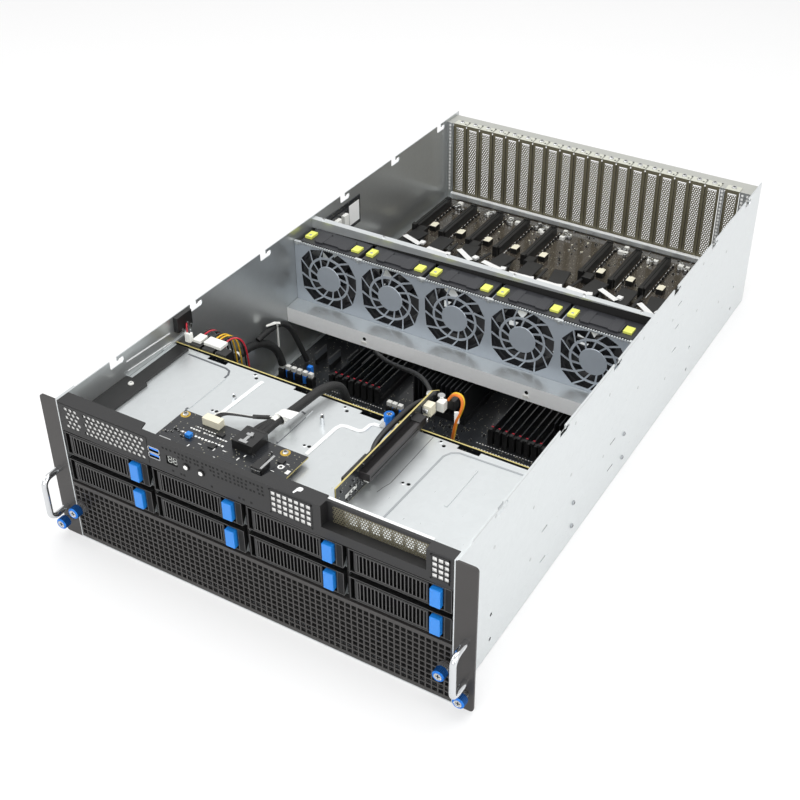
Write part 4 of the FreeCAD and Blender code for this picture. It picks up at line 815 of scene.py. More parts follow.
class SERVER_OT_finishes(bpy.types.Operator):
    """Makes the materials and gives every CAD node its own"""
    bl_idname = "server.finishes"
    bl_label = "Finishes"

    def execute(self, context):
        FINISHES.update(make_finishes(context.scene))
        copies_tree()
        rows_tree()
        dress("chassis_shell", ["sheet", "inner"],
              lambda spot, normal: int(normal.x > 0.5 and spot.x < -210))
        dress("rear_frame", ["sheet", "inner", "flange"],
              lambda spot, normal: (2 if spot.z > 169 else 0) if normal.z > 0.5
              else int(normal.y < -0.5 and spot.z < 170))
        dress("drive_cage", ["sheet", "dark"],
              lambda spot, normal: int(spot.y < 30 and spot.z < 139.5))
        dress("rack_ears", ["ears", "sheet"], lambda spot, normal: int(spot.y > 0.05))
        dress("front_handles", ["chrome"])
        dress("front_grille", ["bezel"])
        for node in ("power_button", "locator_button"):
            dress(node, ["bezel"])
        for number in range(1, 9):
            dress(f"drive_tray_{number}", ["tray", "sheet"],
                  lambda spot, normal: int(spot.y > 13))
            dress(f"tray_lever_{number}", ["tray"])
            dress(f"tray_release_{number}", ["latch"])
        for name in ("rack_thumbscrew_left", "rack_thumbscrew_right",
                     "grille_thumbscrew_left", "grille_thumbscrew_right",
                     "riser_thumbscrew"):
            dress(name, ["knob"])
        boards = ["board", "board_edge", "socket", "cream", "nickel", "usb", "white"]
        dress("drive_backplane", boards, lambda spot, normal: (
            2 if not inside(spot, (-300, 300), (169.9, 171.7), (0, 300))
            else 1 if abs(normal.y) < 0.5 else 0))

        def on_front_board(spot, normal):
            if spot.z < FRONT_BOARD + 0.1:
                return of_board(spot, normal, FRONT_BOARD)
            if abs(spot.x + 100.7) < 5.1 and spot.y > 1.5 and (
                    inside(spot, (-200, 0), (1.9, 13.6), (154.2, 155.7))
                    or inside(spot, (-200, 0), (1.9, 13.6), (161.2, 162.7))):
                return 5
            if abs(spot.x + 100.7) < 7:
                return 4
            return 3 if inside(spot, (-97, -75), (62, 73), (150, 160)) else 2
        dress("front_io_board", boards, on_front_board)

        def on_riser(spot, normal):
            if spot.x > 83.7:
                return 2
            if 81.9 < spot.x < 83.7:
                return 0 if abs(normal.x) > 0.5 else 1
            return 4 if spot.z < 145 else 2
        dress("riser_card", boards, on_riser)

        def on_mainboard(spot, normal):
            if spot.z < MAIN_BOARD + 0.1:
                return of_board(spot, normal, MAIN_BOARD)
            return 4 if spot.y > 700 else 2
        dress("mainboard", boards, on_mainboard)

        def on_card_board(spot, normal):
            if spot.z < CARD_BOARD + 0.1:
                return of_board(spot, normal, CARD_BOARD)
            step = (spot.x - FIRST_SLOT) % SLOT_PITCH
            return 3 if 13 < step < 24 and normal.z > 0.5 else 2
        dress("card_board", ["card", *boards[1:]], on_card_board)
        for number, centre in enumerate(FANS, 1):
            dress(f"fan_module_{number}", ["fan", "tab"],
                  lambda spot, normal, centre=centre: int(
                      spot.z > 161.6 and abs(spot.x - centre) > 25))
            dress(f"fan_rotor_{number}", ["fan"])
        dress("cpu_coolers", ["fins"])
        dress("slot_blanks", ["blanks", "nickel", "tab_plate"],
              lambda spot, normal: 1 if spot.y < 50 else 2 if spot.z > 170.6 else 0)
        for number in (1, 2, 3):
            dress(f"power_supply_{number}", ["sheet", "socket"],
                  lambda spot, normal: int(spot.y > 784))
        dress("internal_cables", ["sleeve"])
        return {"FINISHED"}


class SERVER_OT_grille(bpy.types.Operator):
    """Makes the lower front's pierced sheet from square cells"""
    bl_idname = "server.grille"
    bl_label = "Front grille"

    def execute(self, context):
        sizes = context.scene.server_sizes
        pitch = sizes.grille_pitch / MM
        hole = sizes.grille_hole / MM
        low, high = low_of("front_grille"), high_of("front_grille")
        across = int((high.x - low.x - 1) / pitch)
        up = int((high.z - low.z - 5) / pitch)
        left = -across * pitch / 2
        base = low.z + (high.z - low.z - up * pitch) / 2
        cell = cell_shape(square_ring(pitch / 2), square_ring(hole / 2), 1.5)
        points = [at(left + pitch * (column + 0.5), low.y, base + pitch * (row + 0.5))
                  for column in range(across) for row in range(up)]
        copies("grille_sheet", CASE, cell, points, "ears")
        edge = Shape()
        edge.block((low.x, high.x), (low.y, low.y + 1.5), (low.z, base))
        edge.block((low.x, high.x), (low.y, low.y + 1.5), (base + up * pitch, high.z))
        edge.block((low.x, high.x), (low.y + 1.5, high.y), (high.z - 1.5, high.z))
        for start, end in ((low.x, left), (-left, high.x)):
            edge.block((start, end), (low.y, low.y + 1.5), (base, base + up * pitch))
        for side in (-1, 1):
            edge.rod("y", (212 * side, low.y - 0.4, 43.5), 6.6, 1.0, sides=20)
        edge.block((low.x, high.x), (high.y - 0.4, high.y), (low.z, high.z - 1.5), 1)
        edge.ride("grille_edge", CASE, ["ears", "dark"], replaces=["front_grille"])
        return {"FINISHED"}


class SERVER_OT_levers(bpy.types.Operator):
    """Makes each tray's slatted lever, and the pale edge round each tray's nose"""
    bl_idname = "server.levers"
    bl_label = "Levers"

    def execute(self, context):
        count = context.scene.server_sizes.slats
        for number in range(8):
            x, z = tray_place(number)
            node = f"tray_lever_{number + 1}"
            body = body_under(node)
            low, high = z + 1.5, z + 25.3
            left, right = x - 42.5, x + 27.0
            hinge, end = x - 45.5, x + 29.3
            window = (low + 2.0, high - 2.0)
            shape = Shape()
            shape.block((hinge, end), (-2, 1.8), (low, low + 2.0))
            shape.block((hinge, end), (-2, 1.8), (high - 2.0, high))
            shape.block((right, end), (-2, 1.8), window)
            shape.block((hinge, left), (-1.9, 1.8), window)
            shape.turned("z", (hinge, 2.2, low), tube(1.3, 3.2, 23.8), sides=16)
            shape.ride(f"lever_frame_{number + 1}", body, ["tray"], 0.3, [node])
            step = (right - left) / count
            # Thin pale strips on the slats' front edges are a painted highlight.
            for name, y, share, deep, finish in (
                    ("lever_slats", -0.6, 0.3, 2.6, "tray"),
                    ("slat_edges", -1.93, 0.24, 0.12, "edge_line")):
                rows(f"{name}_{number + 1}", body,
                     (left + step / 2, y, (low + high) / 2), (step * share, deep, 20.2),
                     count, (step, 0, 0), finish)
            # A dark plate behind the slats is painted shade inside the lever, and thin pale
            # lines round its window are painted highlights on the frame's edges.
            back = Shape()
            back.block((left, right), (1.5, 1.78), window)
            for level in (low + 1.6, high - 2.0):
                back.block((x - 45.0, x + 29.0), (-2.06, -1.98), (level, level + 0.45), 1)
            for start in (left - 0.6, right + 0.2):
                back.block((start, start + 0.4), (-2.05, -1.85), window, 1)
            back.ride(f"lever_back_{number + 1}", body, ["dark", "edge_line"])
            # Pale lines round the tray's nose are painted highlights on its edges, and a
            # dark plate at its right end is painted shade in the deep gap there.
            nose = Shape()
            for left, right, bottom, top in (
                    (-52.1, 52.1, 0, 0.5), (-52.1, 52.1, 26.3, 26.8),
                    (51.6, 52.1, 0.5, 26.3), (45.2, 45.6, 0.5, 26.3)):
                nose.block((x + left, x + right), (-1.66, -1.5), (z + bottom, z + top))
            nose.block((x + 45.7, x + 51.5), (-1.56, -1.5), (z + 0.6, z + 26.2), 1)
            nose.ride(f"nose_edge_{number + 1}", body_under(f"drive_tray_{number + 1}"),
                      ["edge_line", "dark"])
            node = f"tray_release_{number + 1}"
            cap = Shape()
            cap.block((x + 32.0, x + 42.6), (-5.4, 1.0), (z + 3.2, z + 23.4))
            cap.block((x + 30.6, x + 44.0), (0.6, 5.4), (z + 1.6, z + 25.0), 1)
            cap.ride(f"release_button_{number + 1}", body_under(node),
                     ["latch", "tray"], 0.5, [node])
        return {"FINISHED"}


class SERVER_OT_knobs(bpy.types.Operator):
    """Makes the knurled thumbscrews with their bright recessed heads"""
    bl_idname = "server.knobs"
    bl_label = "Thumbscrews"

    def execute(self, context):
        places = {"rack_thumbscrew_left": (-232.55, 20.5),
                  "rack_thumbscrew_right": (232.55, 20.5),
                  "grille_thumbscrew_left": (-212.0, 43.5),
                  "grille_thumbscrew_right": (212.0, 43.5)}
        # The fourth finish paints the knurled sides darker, as painted shade.
        finishes = ["knob", "nickel", "dark", "knob_side"]
        for node, (x, z) in places.items():
            low, high = low_of(node), high_of(node)
            shape = Shape()
            shape.turned("y", (x, low.y, z), [
                (0, 0.5, 1), (3.9, 0.5, 1), (4.2, 0.1), (5.3, 0), (6.3, 1.1, 3), (6.3, 8.2),
                (5.6, 9.0), (4.0, 9.1, 1), (4.0, 13.6, 1), (2.5, 13.8, 1),
                (2.5, high.y - low.y, 1), (0, high.y - low.y)], **KNURL)
            for wide, tall, lift in ((2.2, 0.5, 0.42), (0.5, 2.2, 0.4)):
                shape.block(around(x, wide), (low.y + lift, low.y + 0.6),
                            around(z, tall), 2)
            shape.ride(node.replace("thumbscrew", "knob"), body_under(node), finishes,
                       replaces=[node])
        low, high = low_of("riser_thumbscrew"), high_of("riser_thumbscrew")
        x, y = (low.x + high.x) / 2, (low.y + high.y) / 2
        shape = Shape()
        shape.turned("z", (x, y, low.z), [
            (0, 0, 1), (2.5, 0, 1), (2.5, 5.8, 1), (4.0, 5.9), (4.0, 9.8), (5.3, 10.0),
            (5.5, 10.6), (5.5, high.z - low.z - 0.7), (4.9, high.z - low.z),
            (3.3, high.z - low.z), (3.1, high.z - low.z - 0.5, 1),
            (0, high.z - low.z - 0.5)], **KNURL)
        top = high.z - 0.42
        shape.block(around(x, 2.2), around(y, 0.5), (top - 0.2, top), 2)
        shape.block(around(x, 0.5), around(y, 2.2), (top - 0.2, top + 0.02), 2)
        shape.ride("riser_knob", body_under("riser_thumbscrew"), finishes,
                   replaces=["riser_thumbscrew"])
        return {"FINISHED"}


class SERVER_OT_front(bpy.types.Operator):
    """Shapes the front strip, and adds its vents, display, port frames and lamps"""
    bl_idname = "server.front"
    bl_label = "Front strip"

    def execute(self, context):
        sizes = context.scene.server_sizes
        pitch, hole = sizes.vent_pitch / MM, sizes.vent_hole / MM
        rise = pitch * HEX_RISE
        front, back = PANEL_SHEET
        thick = 0.3
        corner = ring_of(6, pitch / HEX_CORNER)
        hexagon = [point for first, second in zip(corner, corner[1:] + corner[:1])
                   for point in (first, [sum(pair) / 2 for pair in zip(first, second)])]
        round_cell = cell_shape(hexagon, ring_of(12, hole / 2), thick)
        square_cell = cell_shape(square_ring(3.15), square_ring(2.3), thick)
        plain = Shape().slab(corner, 0, thick, axis="y")
        # The flange is deep at both ends, and narrow where it passes over the board. Over
        # the recess the panel's lip stands back at the pierced cover.
        cuts = (-122.0, -119.5, 18.5, 21.0, 86.0, 86.3, 191.7, 192.0)
        flange_depth, lip_back = 5.0, 9.0

        def cut_back(mesh):
            for x in cuts:
                bmesh.ops.bisect_plane(mesh, geom=[*mesh.verts, *mesh.edges, *mesh.faces],
                                       plane_co=mm(x, 0, 0), plane_no=(1, 0, 0))
            for vert in mesh.verts:
                if -119.6 < vert.co.x / MM < 18.6 and vert.co.z > 172 * MM:
                    vert.co.y = min(vert.co.y, flange_depth * MM)
                if 86.2 < vert.co.x / MM < 191.8 and vert.co.z > 170.9 * MM:
                    vert.co.y += lip_back * MM * (vert.co.y < MM)
            bmesh.ops.dissolve_degenerate(mesh, edges=mesh.edges, dist=0.001 * MM)
        reshaped("front_strip", "front_io_panel", ["bezel", "socket"],
                 cut_back, lambda spot, normal: int(spot.z < 147 and spot.y > 0))
        # One field of round holes fills both left windows, with a plain column between.
        holes, lids = [], []
        for row in range(5):
            for column in range(-1, 17):
                spot = at(-208.9 + pitch * (column + 0.5 * (row % 2)), front,
                          147.3 + rise * row)
                open_here = 0 <= column != 3 and column + row % 2 < 17
                (holes if open_here else lids).append(spot)
        copies("vent_sheet", CASE, round_cell, holes, "bezel")
        copies("vent_margin", CASE, plain, lids, "bezel")
        squares = [at(35.1 + 6.3 * column, front, 148.1 + 6.3 * row)
                   for column in range(7) for row in range(4)]
        squares += [at(200.2 + 6.0 * column, front, 148.1 + 6.3 * row)
                    for column in range(3) for row in range(4)]
        copies("square_vents", CASE, square_cell, squares, "bezel")
        trim = Shape()
        for start, end in ((31, 32.2), (75.8, 77), (196, 197.3), (213.9, 215)):
            trim.block((start, end), PANEL_SHEET, (143.5, 171.5))
        for start, end in ((31, 77), (196, 215)):
            trim.block((start, end), PANEL_SHEET, (143.5, 145.1))
            trim.block((start, end), PANEL_SHEET, (170.0, 171.5))
        trim.block((-112.4, -108.3), (-2.33, -2.03), (143.5, 171.5))
        for levels in ((142.6, 145.1), (169.95, 172.8)):
            trim.block((-217.5, -108.3), (-2.32, -2.02), levels)
        # A pale lining a little behind the sheet is painted light: it makes every hole read
        # bright, as the light seen through them.
        for start, end in ((-212, -190), (-186.4, -111.4), (32.5, 76), (197.6, 213.8)):
            trim.block((start, end), (-1.3, -1.1), (145.1, 170), 1)
        trim.ride("vent_frames", CASE, ["bezel", "paper"])
        # The recess's cover: finely pierced sheet, drawn coarser than real so it shows.
        points = [at(93.3 + 2.9 * column + 1.45 * (row % 2), 8.05, 152.6 + 2.5 * row)
                  for column in range(34) for row in range(8)]
        fine = cell_shape(ring_of(6, 1.68), ring_of(6, 1.12), thick)
        copies("recess_mesh", CASE, fine, points, "blanks")
        # Two digits, each of seven segments, with every segment shown as it is unlit.
        digits = Shape()
        digits.block((-86.3, -73.7), (-0.45, -0.3), (151.5, 161.1), 1)
        middle, segment = 156.3, (-0.62, -0.45)
        for x in (-83.1, -76.9):
            for level in (-3.6, 0, 3.6):
                digits.block(around(x, 1.5), segment, around(middle + level, 0.45))
            for side in (-2.0, 2.0):
                for level in (-1.8, 1.8):
                    digits.block(around(x + side, 0.45), segment,
                                 around(middle + level, 1.3))
        digits.ride("display_digits", CASE, ["digit", "socket"])
        frames = Shape()
        rim = (-2.3, -2.0)
        for level in (150.6, 157.6):
            for lift in (0.2, 6.0):
                frames.block((-107.6, -93.8), rim, (level + lift, level + lift + 0.8))
            for x in (-107.6, -94.6):
                frames.block((x, x + 0.8), rim, (level + 0.2, level + 6.8))
            frames.block((-106.2, -95.2), (-1.7, 5.0), (level + 3.3, level + 5.2), 1)
        frames.ride("port_frames", CASE, ["nickel", "usb"])
        chance = random.Random(sizes.seed)
        marks = []
        for index in range(26):
            x = -88.5 + 4.5 * index
            for level, share in ((168.7, 0.9), (164.4, 0.75 if x > -72 else 0.0),
                                 (160.1, 0.8 if x > -36 else 0.0), (145.0, 0.35)):
                if x < 29 and chance.random() < share:
                    marks.append(at(x + chance.uniform(-0.6, 0.6), back, level))
        slit = Shape().block((-1.2, 1.2), (0, 0.1), (-1.2, 1.2))
        copies("strip_holes", CASE, slit, marks, "dark")
        for node in ("power_button", "locator_button"):
            middle = (low_of(node) + high_of(node)) / 2
            lamp = Shape()
            lamp.turned("y", (middle.x, low_of(node).y - 0.7, middle.z), [
                (0, 0), (1.4, 0.1), (2.3, 0.5), (2.5, 1.0), (0, 1.0)], sides=20)
            lamp.ride(f"{node}_light", body_under(node), ["paper"])
        # A keyhole in the flange shows the pale deck, so it is drawn as a plate in the
        # nearly white zinc of the painted highlights.
        keyhole = Shape()
        keyhole.slab([(54.6, 1.2), (56.4, 0.6), (57.4, 4.6), (60.4, 5.4), (61.2, 8.6),
                      (59.6, 10.6), (56.6, 10.4), (55.2, 8.0)], 174.45, 174.51)
        # A return bend runs behind the flange, over the recess, painted nearly white as a
        # highlight.
        keyhole.block((86, 192), (10.1, 13.4), (172.8, 174.2))
        keyhole.ride("flange_keyhole", CASE, ["ridge"])
        return {"FINISHED"}


def band(shape, path, width, low, high, material=0):
    """A flat strip of one width that follows a path, with mitred corners."""
    sides = ([], [])
    for index, (x, y) in enumerate(path):
        before = Vector(path[index]) - Vector(path[max(index - 1, 0)])
        after = Vector(path[min(index + 1, len(path) - 1)]) - Vector(path[index])
        first = (before if before.length else after).normalized()
        second = (after if after.length else before).normalized()
        middle = (first + second).normalized()
        reach = width / 2 / max(middle.dot(second), 0.5)
        for side, corners in zip((1, -1), sides):
            corners.append((x - middle.y * reach * side, y + middle.x * reach * side))
    return shape.slab(sides[0] + sides[1][::-1], low, high, material=material)


class SERVER_OT_deck(bpy.types.Operator):
    """Adds the deck's pressed ridges, steps, pins and holes, and the cable arm's screw"""
    bl_idname = "server.deck"
    bl_label = "Deck"

    def execute(self, context):
        # The deck's pressed ridges take the nearly white zinc, a painted highlight on their
        # curved tops.
        bright = Shape()
        band(bright, [(-98, 89), (-95.2, 152), (-94.6, 158.5)], 4.6, DECK, DECK + 1.1)
        band(bright, [(11.6, 82), (13.4, 131), (15.4, 136.6), (20.5, 138.4), (35, 138.4),
                      (38.6, 141.6), (39.6, 152), (42.4, 155.2), (50, 155.4)], 4.6,
             DECK, DECK + 1.1)
        bright.ride("deck_ridges", CASE, ["ridge"], 0.9)
        # The steps are painted darker than the deck as painted shade on their slopes; the
        # left ones take the darker slat grey.
        steps = Shape()
        for path in ([(-132.2, 81), (-132.5, 150), (-136, 156.5), (-142, 158.5),
                      (-192, 159.6)],
                     [(-22.6, 82), (-22.5, 130), (-25.5, 135), (-31, 136.5)],
                     [(122, 40), (125, 146), (129, 154), (136, 158), (204, 159)],
                     [(205, 28), (205, 152)]):
            band(steps, path, 2.2, DECK, DECK + 0.6, int(path[0][0] < 0))
        steps.ride("deck_steps", CASE, ["step", "slate"], 0.4)
        # Two round pins with pointed ends stand on the deck.
        pins = Shape()
        for (x, y), tall in zip(((-2, 130), (-102, 120)), (13.0, 7.0)):
            pins.turned("z", (x, y, DECK), [(0, 0), (2.3, 0), (2.3, tall - 4),
                                             (1.3, tall - 1), (0, tall)], sides=20)
        pins.ride("deck_pins", CASE, ["chrome"])
        edge = Shape()
        band(edge, [(98.4, 70), (99.6, 78), (102.4, 87), (102.1, 167)], 0.5,
             DECK, DECK + 0.16)
        edge.ride("deck_seam", CASE, ["socket"])
        dimple = Shape()
        dimple.turned("z", (0, 0, 0), [(1.5, 0), (2.7, 0), (2.2, 0.3), (1.5, 0.3),
                                       (1.5, 0)], sides=14)
        dimple.rod("z", (0, 0, -0.02), 1.5, 0.06, 1, 12)
        copies("deck_holes", CASE, dimple, [
            at(x, y, DECK + 0.1) for x in (-108.5, 2.0, 112.0) for y in (93.2, 164.5)],
            "sheet", "dark")
        copies("arm_screws", CASE, screw_shape(3.0), [at(-205, 84, 146.3)],
               "white", "nickel")
        # Two long pressed lines run along the front of the left wall, painted nearly white
        # as a highlight.
        lines = Shape()
        for top, tall in ((162.0, 1.2), (150.6, 0.8)):
            lines.slab([(96, top), (164, top - 3.4), (164, top - 3.4 - tall),
                        (96, top - tall)], LEFT_INSIDE, LEFT_INSIDE + 0.5, axis="x")
        lines.ride("wall_lines", CASE, ["ridge"])
        return {"FINISHED"}


def scattered(seed, count, x, y, holes, level, tall):
    """Places for small parts on a flat board, clear of the given rectangles."""
    chance = random.Random(seed)
    points = []
    while len(points) < count:
        px, py = chance.uniform(*x), chance.uniform(*y)
        if any(x1 < px < x2 and y1 < py < y2 for x1, x2, y1, y2 in holes):
            continue
        turn = (0, 0, chance.choice((0, math.pi / 2)))
        points.append(at(round(px), round(py), level, turn,
                         (chance.uniform(0.7, 1.5), chance.uniform(0.7, 1.4),
                          chance.uniform(0.6, tall))))
    return points


def part_shape(length=3.2, width=1.7, height=1.2):
    """A small soldered part with two tinned ends."""
    shape = Shape()
    shape.block((-length / 2 + 0.5, length / 2 - 0.5), (-width / 2, width / 2), (0, height))
    for side in (-1, 1):
        ends = sorted((side * length / 2, side * (length / 2 - 0.5)))
        shape.block(ends, (-width / 2 - 0.05, width / 2 + 0.05), (0, height + 0.05), 1)
    return shape


def can_shape(radius, height):
    """An aluminium can capacitor on its dark foot."""
    shape = Shape()
    shape.turned("z", (0, 0, 0), [(0, 0), (radius, 0), (radius, height - 0.6),
                                  (radius - 0.5, height), (0, height)], sides=14)
    shape.block((-radius, radius), (-radius, radius), (0, 0.8), 1)
    return shape


class SERVER_OT_front_boards(bpy.types.Operator):
    """Adds the parts on the board behind the front panel, the riser and the backplane"""
    bl_idname = "server.front_boards"
    bl_label = "Front boards"

    def execute(self, context):
        seed = context.scene.server_sizes.seed
        top = FRONT_BOARD
        corners = ((-120, 67), (-1, 67))
        keep = [(-110, -92, 0, 20), (-90, -70, 0, 14), (-70, -40, 0, 20),
                (-50, -24, 44, 73), (-97, -75, 60, 73), (-12, -4, 26, 50),
                (-125, -114, 58, 73), (-7, 5, 58, 73)]
        points = scattered(seed, 14, (-122, 18), (8, 70), keep, top, 1.2)
        copies("front_board_parts", CASE, part_shape(), points, "socket", "nickel")
        chips = Shape()
        for x, y, wide, deep, tall in ((-66, 40, 7, 7, 1.4), (-40, 24, 12, 6, 1.8),
                                       (4, 54, 6, 6, 1.4), (-20, 18, 9, 9, 1.2),
                                       (-70, 58, 8, 5, 1.5)):
            chips.block(around(x, wide / 2), around(y, deep / 2), (top, top + tall))
        chips.block((-98, -92), (38, 44), (top, top + 4), 1)
        # Plain white dashes stand for the board's printing, with no letters in them.
        dash = Shape().block((-1.4, 1.4), (-0.5, 0.5), (0, 0.06))
        marks = scattered(seed + 9, 16, (-116, 14), (16, 62), keep + [(-112, -52, 37, 62)],
                          top, 1.0)
        marks += [at(-105 + 3.9 * index, 44.2 + 0.07 * index, top, grow=(0.9, 2.2, 1))
                  for index in range(13) if index not in (2, 3)]
        marks += [at(-101.5 + 3.2 * index, 52.8, top, grow=(0.8, 1.6, 1))
                  for index in range(14) if index % 5 != 4]
        marks += [at(-97 + 3.4 * index, 57.2, top, grow=(0.7, 1.0, 1))
                  for index in range(8)]
        marks += [at(17.4, 44.5, top, grow=(1.4, 5.5, 1)), at(-13, 47, top, grow=2.0)]
        copies("front_board_marks", CASE, dash, marks, "paper")
        chips.ride("front_board_chips", CASE, ["socket", "latch"], 0.2)
        rings = Shape()
        for x, y in corners:
            rings.turned("z", (x, y, top), tube(2.4, 5.0, 0.12), sides=24)
        rings.turned("z", (7.3, 47.8, top), tube(1.5, 3.2, 0.08), 1, 20)
        rings.ride("screw_rings", CASE, ["gold", "paper"])
        copies("front_board_screws", CASE, screw_shape(3.1), [
            at(x, y, top + 0.1) for x, y in corners], "nickel", "dark")
        latch = Shape()
        latch.block((-47.5, -26.5), (70.5, 73.4), (152, 160.9))
        latch.block((-41.5, -32.5), (49, 52.5), (160.6, 161.8), 1)
        latch.block((-38.6, -35.2), (52.5, 66), (160.6, 161.6), 1)
        latch.block((-40.6, -33.4), (60, 63), (160.6, 162.4), 1)
        latch.block((-12.5, -0.4), (28.5, 40.5), (top, 157.0))
        latch.block((-11.5, -1.4), (27.1, 28.5), (151.4, 155.6), 1)
        latch.block((-3.4, -1.0), (30, 52), (157.0, 157.3), 1)
        latch.ride("latched_plug", CASE, ["socket", "nickel"], 0.3)
        # Parts on the riser's right face, its rear connectors and its cans.
        chance = random.Random(seed + 1)
        points = []
        for index in range(46):
            y, z = chance.uniform(32, 205), chance.uniform(147, 169)
            if 60 < y < 168 and 156 < z < 168:
                z = chance.uniform(147, 155)
            points.append(at(83.6, round(y), z, RIGHT))
        copies("riser_parts", CASE, part_shape(2.6, 1.4, 1.0), points, "socket", "nickel")
        copies("riser_cans", CASE, can_shape(2.9, 6.5), [
            at(83.6, y, z, RIGHT) for y, z in ((178, 152), (178, 162), (192, 153))],
            "nickel", "socket")
        copies("riser_front_cans", CASE, can_shape(2.6, 5.5), [
            at(83.6, 72, 151.5, RIGHT), at(83.6, 80, 150.5, RIGHT)], "white", "socket")
        copies("riser_top_cans", CASE, can_shape(4.2, 8.0), [
            at(77.2, 204, 156), at(88.4, 206, 156)], "nickel", "socket")
        plugs = Shape()
        plugs.block((84, 92.5), (178, 188), (156, 167.5), 1)
        plugs.block((89, 97), (195, 204), (152, 162.5))
        plugs.block((97, 105), (203, 213), (152, 163), 2)
        plugs.block((76.2, 82), (84, 97), (157, 166), 2)
        plugs.block((75.2, 81), (97, 101), (158, 165))
        plugs.block((83.62, 83.8), (40, 59), (150.4, 154.6))
        plugs.ride("riser_plugs", CASE, ["white", "cream", "socket"], 0.4)
        # The long slot stands off the card, with a dark groove and a black end latch.
        slot = Shape()
        slot.block((83.65, 95.2), (63.6, 153), (157.6, 166.0))
        slot.block((84, 95.4), (153, 165.5), (157.8, 167), 1)
        slot.block((95.2, 95.35), (66, 150), (161, 162.4), 2)
        slot.ride("riser_slot_body", CASE, ["brown", "socket", "dark"], 0.4)
        # Behind the drives: parts along the board's top, and white plugs, whose wires are
        # laid with the other leads.
        points = [at(x, 171.65, 137 + 4 * math.sin(index * 1.7), BACK)
                  for index, x in enumerate([-214 + 7.4 * index for index in range(56)])
                  if not -202 < x < -150]
        copies("backplane_parts", CASE, part_shape(), points, "socket", "nickel")
        plugs = Shape()
        plugs.block((-207, -199.5), (173, 178.5), (146, 157.5))
        plugs.block((-199.4, -189.2), (176.5, 190), (146.3, 150.4))
        plugs.block((-185.6, -163), (177.5, 190.5), (146.3, 150.6))
        plugs.ride("drive_power_plugs", CASE, ["white"], 0.5)
        return {"FINISHED"}


class SERVER_OT_fans(bpy.types.Operator):
    """Turns the fan wall's sheets over, and adds its serration, seams, rims and screws"""
    bl_idname = "server.fans"
    bl_label = "Fan wall"

    def execute(self, context):
        # The guards' spokes sweep clockwise from the front, so the copy is turned over. It
        # is the same both sides of X = 0 apart from them. The apron folds at its top.
        fold_back, fold_up = 3.9, 5.3

        def turn_over(mesh):
            for vert in mesh.verts:
                x, y, z = vert.co / MM
                fold = y < 368 and z > 70
                vert.co = mm(-x, y + fold_back * fold, z + fold_up * fold)
        # The apron's front faces take the white painted-light finish.
        reshaped("fan_cage_sheets", "fan_cage", ["guard", "sheet", "dark", "apron"],
                 turn_over, lambda spot, normal: (
                     3 if spot.y < 371.2 and normal.y < -0.7
                     else 1 if spot.y < 392.9 or spot.z < 80 or spot.z > 168
                     else 2 if spot.y > 428 and normal.y < -0.5
                     else 1 if spot.y > 432 else 2 if abs(normal.x) > 0.5 else 0))
        rows("wall_serration", CASE, (-217, 392.7, 160.6), (1.5, 2.6, 2.2), 145,
             (3.014, 0, 0), "sheet")
        seams = Shape()
        end = 218.4
        for x in SEAMS:
            for half, y, z in ((4.5, (391.6, 395.2), (158, 162)),
                               (1.2, (390.9, 391.7), (156.5, 161))):
                seams.block((max(x - half, -end), min(x + half, end)), y, z)
        seams.ride("wall_seams", CASE, ["sheet"], 0.5)
        rims = Shape()
        for centre in FANS:
            rims.turned("y", (centre, 392.86, FAN_AXIS), tube(25.6, 28.6, 0.14), sides=48)
            rims.turned("y", (centre, 392.4, FAN_AXIS), [
                (0, 0), (16.2, 0), (16.6, 0.6), (0, 0.6)], sides=36)
        rims.ride("guard_rims", CASE, ["guard"], 0.25)
        for number, centre in enumerate(FANS, 1):
            body = body_under(f"fan_module_{number}")
            top = high_of(f"fan_module_{number}").z
            pins = Shape()
            pins.rod("z", (centre - 34.5, 409.0, top - 1.8), 2.0, 1.9, 1, 14)
            for near, far in ((-22, -12), (10, 22)):
                pins.block((centre + near, centre + far), (400, 424), (161.7, 163.9), 2)
            pins.ride(f"fan_tabs_{number}", body, ["tab", "nickel", "fan"], 0.3)
        head = context.scene.server_sizes.screw_head / MM / 2
        clips = Shape()
        for x in (-107.6, 105.3):
            clips.rod("y", (x, 369.7, 70.9), 2.3, 0.3, 1, 14)
            clips.block((x - 4, x + 3), (369.0, 370), (63.6, 67.0))
        clips.ride("apron_clips", CASE, ["white", "dark"])
        screws = [at(x, 436, 172.45) for x in (-205, -120, -34, 52, 137, 205)]
        copies("fan_wall_screws", CASE, screw_shape(head * 0.8), screws, "nickel", "dark")
        return {"FINISHED"}


